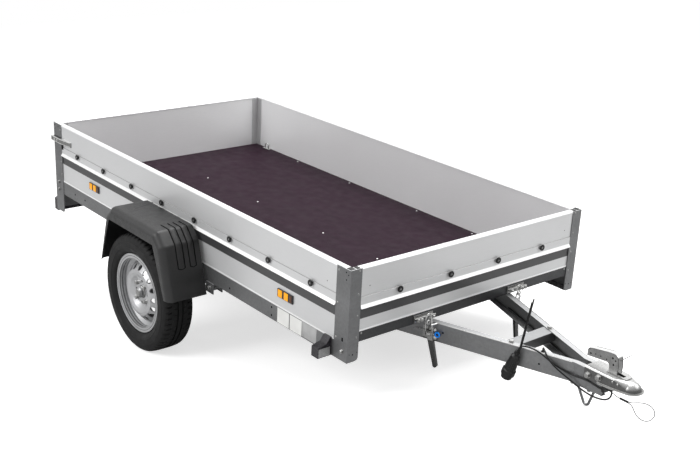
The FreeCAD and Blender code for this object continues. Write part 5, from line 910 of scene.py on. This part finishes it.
# (distance from the trailer's middle plane, half width)
GUARD_RIBS = ((771, 16), (713, 14))
RIB_HEIGHT, SEAM, SEAM_GAP, SEAM_SAG = 3.5, 2.4, 1, 6


def over_guard(y, along=0.0):
    """A line from the top of a mudguard down its front slope, longer by so much at its ends."""
    return [(GUARD_MID + 132 - along, y, GUARD_TOP),
            (GUARD_MID + 195, y, GUARD_TOP),
            (GUARD_MID + 248, y, GUARD_SHOULDER),
            (GUARD_MID + 276, y, GUARD_SHOULDER - 101 - along)]


ribs, seam_shade = Shape(), Shape()
for side in SIDES:
    for y, half in GUARD_RIBS:
        ribs.bead(over_guard(side * y), (0, 1, 0), half, RIB_HEIGHT)
        inner = over_guard(side * (y - half - SEAM_GAP))
        outer = over_guard(side * (y + half + SEAM_GAP))
        for line in (inner, outer):
            seam_shade.tube(line, SEAM, 6, 0.12)
        seam_shade.tube([inner[-1], over_guard(side * y, SEAM_SAG)[-1], outer[-1]], SEAM, 6)
    ribs.bead([(1034, side * 664, GUARD_TOP), (1067, side * 771, GUARD_TOP),
               (1085, side * 800, GUARD_TOP - 1)], AHEAD, 5, side * -2.5)
piece("GuardRibs", ribs, "bed", GUARD, 50)
# The seams are dark bars of painted shade
piece("GuardSeamShade", seam_shade, "bed", DARK)


# Wheels: bolts, grease cap, valve and the fine steps of the rim

BOLT_CIRCLE, DISC_OUT, CAP_OUT = 50, 34, 55
BOLT_CONE = [(11, 0), (8.5, 4)]
GREASE_CAP = [(17.5, 0), (16.5, 2.5), (11, 4.2), (4, 4.8)]
HUB_RING = [(27, 0), (27, 3), (25, 5), (23.8, 5)]
VALVE_ANGLE, VALVE_CIRCLE, VALVE_OUT, VALVE_LEAN = 335, 148, 40, 0.35
VALVE = [(7, 0), (7, 4), (4.2, 7), (4.0, 20), (5, 20.5), (5, 30), (4, 31)]
# (radius, distance from the wheel's middle plane, radius of the bar)
RIM_STEPS = ((160.5, 52, 2.6), (160.5, 38, 2.6), (163.5, 60, 2.4), (180, 60.2, 2.6))
# Dark rings of painted shade along the rim's steps
RIM_SHADE_LINES = ((171.5, 60.4, 1.6), (160.6, 45, 1.6), (160.6, 56.4, 1.2))


def rim_hoops(side, hoops):
    shape = Shape()
    for radius, out, bar in hoops:
        shape.hoop((AXLE_X, side * (WHEEL_Y + out), 0), (0, side, 0), radius, bar, 96)
    return shape


def wheel_bolts(side):
    """Four conical bolts with the hub's ring and grease cap between them."""
    out, face = (0, side, 0), side * (WHEEL_Y + DISC_OUT)
    shape = Shape()
    for number in range(4):
        angle = math.radians(45 + 90 * number)
        x, z = AXLE_X + BOLT_CIRCLE * math.cos(angle), BOLT_CIRCLE * math.sin(angle)
        shape.turned((x, face, z), out, BOLT_CONE, 20)
        shape.bolt((x, face + side * 3, z), out, 17, 12)
    shape.turned((AXLE_X, side * (WHEEL_Y + CAP_OUT), 0), out, GREASE_CAP, 28)
    shape.turned((AXLE_X, face, 0), out, HUB_RING, 36)
    return shape


def wheel_valve(side):
    angle = math.radians(VALVE_ANGLE)
    outwards = Vector((math.cos(angle), 0, math.sin(angle)))
    root = Vector((AXLE_X, side * (WHEEL_Y + VALVE_OUT), 0)) + outwards * VALVE_CIRCLE
    shape = Shape()
    shape.turned(root, Vector((0, side, 0)) - outwards * VALVE_LEAN, VALVE, 14)
    return shape


def wheel_parts(name, body, side):
    piece(name + "Steps", rim_hoops(side, RIM_STEPS), body, WHEEL)
    piece(name + "Rings", rim_hoops(side, RIM_SHADE_LINES), body, WHEEL_SHADE)
    piece(name + "Bolts", wheel_bolts(side), body, ZINC)
    piece(name + "Valve", wheel_valve(side), body, BLACK)


wheel_parts("RightWheel", "wheel_right", -1)
wheel_parts("LeftWheel", "wheel_left", 1)


# Drawbar arms: they close in from the pivots to the coupling

ARM_REAR_Y, ARM_FRONT_X, ARM_FRONT_Y, ARM_TOP = 425, 3010, 40, 199.7
ARM_SLOPE = (ARM_REAR_Y - ARM_FRONT_Y) / (ARM_FRONT_X - PIVOT_X)
ARM_ANGLE = math.atan(ARM_SLOPE)
BRACE_X, BRACE_BOLT_IN, BRACE_FOOT, BRACE_BOLT = 2760, 17, 156.7, (17, 8, 12)
ARM_HOLES = ((2501, 164), (2882, 152))
EDGE_STATIONS, EDGE_ROUND = (2470, 2660, 2850, 3000), 1.2
bar_bolts, bar_holes, wires_and_highlights = Shape(), Shape(), Shape()


def arm_face(x):
    """Outer face of the left arm; the right arm's is its negative."""
    return ARM_REAR_Y - (x - PIVOT_X) * ARM_SLOPE


def on_arm(side, x, along, out, z):
    """A point beside an arm: along it from x, out from its face."""
    return Vector((x + along * math.cos(ARM_ANGLE) + out * math.sin(ARM_ANGLE),
                   side * (arm_face(x) - along * math.sin(ARM_ANGLE)
                           + out * math.cos(ARM_ANGLE)), z))


def arm_out(side):
    return Vector((math.sin(ARM_ANGLE), side * math.cos(ARM_ANGLE), 0))


def arm_parts(side):
    """Bolts of the brace, punched holes and a painted highlight along the upper edge."""
    y = side * (arm_face(BRACE_X) - BRACE_BOLT_IN)
    bar_bolts.bolt((BRACE_X, y, ARM_TOP), UP, *BRACE_BOLT)
    bar_bolts.bolt((BRACE_X, y, BRACE_FOOT), DOWN, *BRACE_BOLT)
    for x, z in ARM_HOLES:
        bar_holes.hole(on_arm(side, x, 0, 0, z), arm_out(side), 4)
    # Two bars in the lighter zinc along the upper edge: painted highlight
    for inset in (0, EDGE_ROUND):
        wires_and_highlights.tube([(x, side * (arm_face(x) - inset), ARM_TOP - EDGE_ROUND + inset)
                    for x in EDGE_STATIONS], 1.9, 6)


# Coupling: bolts and rivets through its sides, and the bolts of the parking foot below it
COUPLING_SIDE, HEAD_SIDE = 44.3, 42
FOOT_BOLTS_X, FOOT_BOLT_Y, FOOT_LEVEL = (3003, 3081), 30, 115.7
COUPLING_BOLT, FOOT_BOLT = (19, 9, 13), (13, 6, 9)


def coupling_parts(side):
    out = (0, side, 0)
    for x, z in ((3076, 178), (3124, 188)):
        bar_bolts.bolt((x, side * COUPLING_SIDE, z), out, *COUPLING_BOLT)
    for x, y, z in ((3184, COUPLING_SIDE, 196), (3205, HEAD_SIDE, 194)):
        bar_bolts.rivet((x, side * y, z), out, 4.5)
    for x in FOOT_BOLTS_X:
        bar_bolts.bolt((x, side * FOOT_BOLT_Y, FOOT_LEVEL), DOWN, *FOOT_BOLT)


# Latches of the drawbar: a lever on each arm, and a bail that reaches up to the bed's catch
LATCH_X, LATCH_LEVEL, CATCH_Y, BAIL_X = 2452, 152, 262, 2458.6
LEG_OUT, LEG_WIRE, STRUT_WIRE, EYE_WIRE, SPRING_WIRE = 15, 2.6, 2.2, 2.8, 1.4


def by_latch(side, along, out, z):
    return on_arm(side, LATCH_X, along, out, z)


def latch_plates(side):
    """Round pressings under the lever, rivets behind them and the collar of the pin."""
    out = arm_out(side)
    for z, radius, height in ((139, 13, 11), (168, 9, 8)):
        dome = [(radius, 0), (radius * 0.9, height * 0.5), (radius * 0.55, height * 0.85),
                (1, height)]
        wires_and_highlights.turned(by_latch(side, 18, 3, z), out, dome, 18)
    for z in (141, 163):
        bar_bolts.rivet(by_latch(side, -24, 3, z), out, 4.6)
    wires_and_highlights.turned(by_latch(side, -9, 17, LATCH_LEVEL), (1, -side * ARM_SLOPE, 0),
                 [(8.5, 0), (8.5, 18)], 18)


def latch_wires(side):
    """Threaded strut with its cross wire and eye, and the wire of the spring."""
    wires_and_highlights.tube([(2459, side * 250, 173), (2480, side * 250, 201)], STRUT_WIRE)
    wires_and_highlights.tube([(2476, side * CATCH_Y, 199), (2484, side * 238, 203)], LEG_WIRE)
    wires_and_highlights.hoop((2461, side * CATCH_Y, 206), AHEAD, 8.5, EYE_WIRE)
    wires_and_highlights.tube([by_latch(side, -70, 6, LATCH_LEVEL + 3), by_latch(side, -46, 9, LATCH_LEVEL + 8),
                by_latch(side, -20, 10, LATCH_LEVEL + 2)], SPRING_WIRE, 6)


def latch_bail(side):
    """Two legs of bent wire from the pin up in front of the catch."""
    for along in (-LEG_OUT, LEG_OUT):
        wires_and_highlights.tube([by_latch(side, along, 14, LATCH_LEVEL + 2),
                    by_latch(side, along, 24, LATCH_LEVEL + 22),
                    by_latch(side, along * 0.9, 26, LATCH_LEVEL + 50),
                    (2459, side * (CATCH_Y - along), 222),
                    (BAIL_X, side * (CATCH_Y - along * 0.5), 240),
                    (BAIL_X, side * CATCH_Y, 243)], LEG_WIRE)


for side in SIDES:
    arm_parts(side)
    coupling_parts(side)
    latch_plates(side)
    latch_wires(side)
    latch_bail(side)
piece("DrawbarBolts", bar_bolts, "drawbar", ZINC)
piece("DrawbarHoles", bar_holes, "drawbar", DARK)
piece("LatchWiresAndHighlights", wires_and_highlights, "drawbar", ZINC_HIGHLIGHT)


# Handle of the coupling: the turned edges and the holes of its pressed sides

HANDLE_HALF, HANDLE_FOOT, EDGE_RADIUS = 13, 212.3, 1.3
# (place along the drawbar, rise over the handle's foot), and for a hole its radius
HANDLE_EDGE = ((3040, 44), (3052, 58), (3152, 76), (3174, 65), (3180, 32), (3178, 2))
HANDLE_HOLES = ((3055, 37, 3.5), (3076, 42, 2.5), (3099, 43, 2.5), (3125, 41, 3),
                (3151, 56, 4), (3157, 32, 4), (3164, 50, 3))
handle_edges, handle_holes = Shape(), Shape()
for side in SIDES:
    handle_edges.tube([(x, side * HANDLE_HALF, HANDLE_FOOT + rise) for x, rise in HANDLE_EDGE],
                      EDGE_RADIUS, 6, 0.25)
    for x, rise, radius in HANDLE_HOLES:
        handle_holes.hole((x, side * HANDLE_HALF, HANDLE_FOOT + rise), (0, side, 0), radius)
piece("HandleEdges", handle_edges, "drawbar", COUPLING)
piece("HandleHoles", handle_holes, "drawbar", DARK)


# A cable that is held along the inside of the left arm

HELD_FROM, HELD_LEVEL, HELD_RISE, HELD_IN, HELD_RADIUS = 2440, 137, 3 / 550, 8.5, 3.25
held = Shape()
held.tube([(x, arm_face(x) - HELD_IN, HELD_LEVEL + HELD_RISE * (x - HELD_FROM))
           for x in (HELD_FROM, 2560, 2680, 2800, 2920, 3000)], HELD_RADIUS, 10)
piece("HeldCable", held, "drawbar", LEAD)


# Plug: ribs of its grip, rings of its gland and the cable tie's tail

GRIP_RIBS, GRIP_RIB = 18, 1.1
# (distance from the lead's end, distance from the plug's axis) along a rib
GRIP_LINE = ((34, 16.8), (60, 20.6), (84, 22.6))
GLAND_RINGS, GLAND_RING = (3, 7, 11, 15), [(8.3, 0), (8.9, 0.6), (8.9, 1.6), (8.3, 2.2)]
TAIL_BACK, TAIL_OUT, TAIL_RADIUS = 9, 12, 3.2
TAIL_WAY, TAIL_LENGTHS = (24, 14, 211), (0, 100, 208)
plug_end, lead_in = Vector(PLUG_LEAD[0]), Vector(PLUG_LEAD[1])
plug_way = (plug_end - lead_in).normalized()
grip = Shape()
for around in circle(Vector(), *square_to(plug_way), 1, GRIP_RIBS):
    grip.tube([plug_end + plug_way * down + around * radius for down, radius in GRIP_LINE],
              GRIP_RIB, 6)
for down in GLAND_RINGS:
    grip.turned(plug_end + plug_way * down, plug_way, GLAND_RING, 20)
tail_foot = plug_end - plug_way * TAIL_BACK + Vector((0, TAIL_OUT, 0))
grip.tube([tail_foot + Vector(TAIL_WAY).normalized() * length for length in TAIL_LENGTHS],
          TAIL_RADIUS, 10)
piece("PlugGrip", grip, "drawbar", BLACK)


# Stage: a wide pale floor that the camera sees as white, under a soft white sky

FLOOR_HALF = 60
FLOOR_GLOW, SKY_LIGHT, SKY_SEEN = 0.66, 0.5, 1.0


def studio_floor():
    mesh = bpy.data.meshes.new("StudioFloor")
    corners = [(-FLOOR_HALF, -FLOOR_HALF, 0), (FLOOR_HALF, -FLOOR_HALF, 0),
               (FLOOR_HALF, FLOOR_HALF, 0), (-FLOOR_HALF, FLOOR_HALF, 0)]
    mesh.from_pydata(corners, [], [(0, 1, 2, 3)])
    paint = clouded("FloorPaint", (0.7, 0.7, 0.7), 0.9, 0.7, (0.69, 0.69, 0.69),
                    (0.71, 0.71, 0.71), Emission_Color=(1, 1, 1, 1), Specular_IOR_Level=0.0)
    seen = paint.add("ShaderNodeLightPath").outputs["Is Camera Ray"]
    paint.join(paint.both(seen, FLOOR_GLOW), paint.shader.inputs["Emission Strength"])
    mesh.materials.append(paint.material)
    new_object("StudioFloor", mesh)


def studio_sky():
    """A sky that lights the object softly and is white where it is seen or mirrored."""
    world = bpy.data.worlds.new("Studio")
    bpy.context.scene.world = world
    world.use_nodes = True
    nodes, links = world.node_tree.nodes, world.node_tree.links
    background = nodes["Background"]
    background.inputs["Color"].default_value = (1, 1, 1, 1)
    rays = nodes.new("ShaderNodeLightPath").outputs
    seen = rays["Is Camera Ray"]
    for name in ("Is Glossy Ray", "Is Transmission Ray"):
        either = nodes.new("ShaderNodeMath")
        either.operation = "MAXIMUM"
        links.new(seen, either.inputs[0])
        links.new(rays[name], either.inputs[1])
        seen = either.outputs[0]
    strength = nodes.new("ShaderNodeMapRange")
    strength.inputs["To Min"].default_value = SKY_LIGHT
    strength.inputs["To Max"].default_value = SKY_SEEN
    links.new(seen, strength.inputs["Value"])
    links.new(strength.outputs["Result"], background.inputs["Strength"])


def lamp(name, at, aim, size, power):
    light = bpy.data.lights.new(name, "AREA")
    light.energy = power
    light.shape = "RECTANGLE"
    light.size, light.size_y = size
    item = new_object(name, light)
    item.location = at
    item.rotation_euler = (Vector(at) - Vector(aim)).to_track_quat("Z", "Y").to_euler()


studio_floor()
studio_sky()
lamp("KeyLamp", (-1.3, -5.2, 4.2), (-0.6, 0, 0.5), (4, 3), 195)
lamp("FrontLamp", (4.6, 3.8, 4.0), (-0.4, 0.4, 0.5), (4, 3), 125)
lamp("TopLamp", (0, 1.0, 5.0), (0, 0, 0.3), (5, 4), 270)
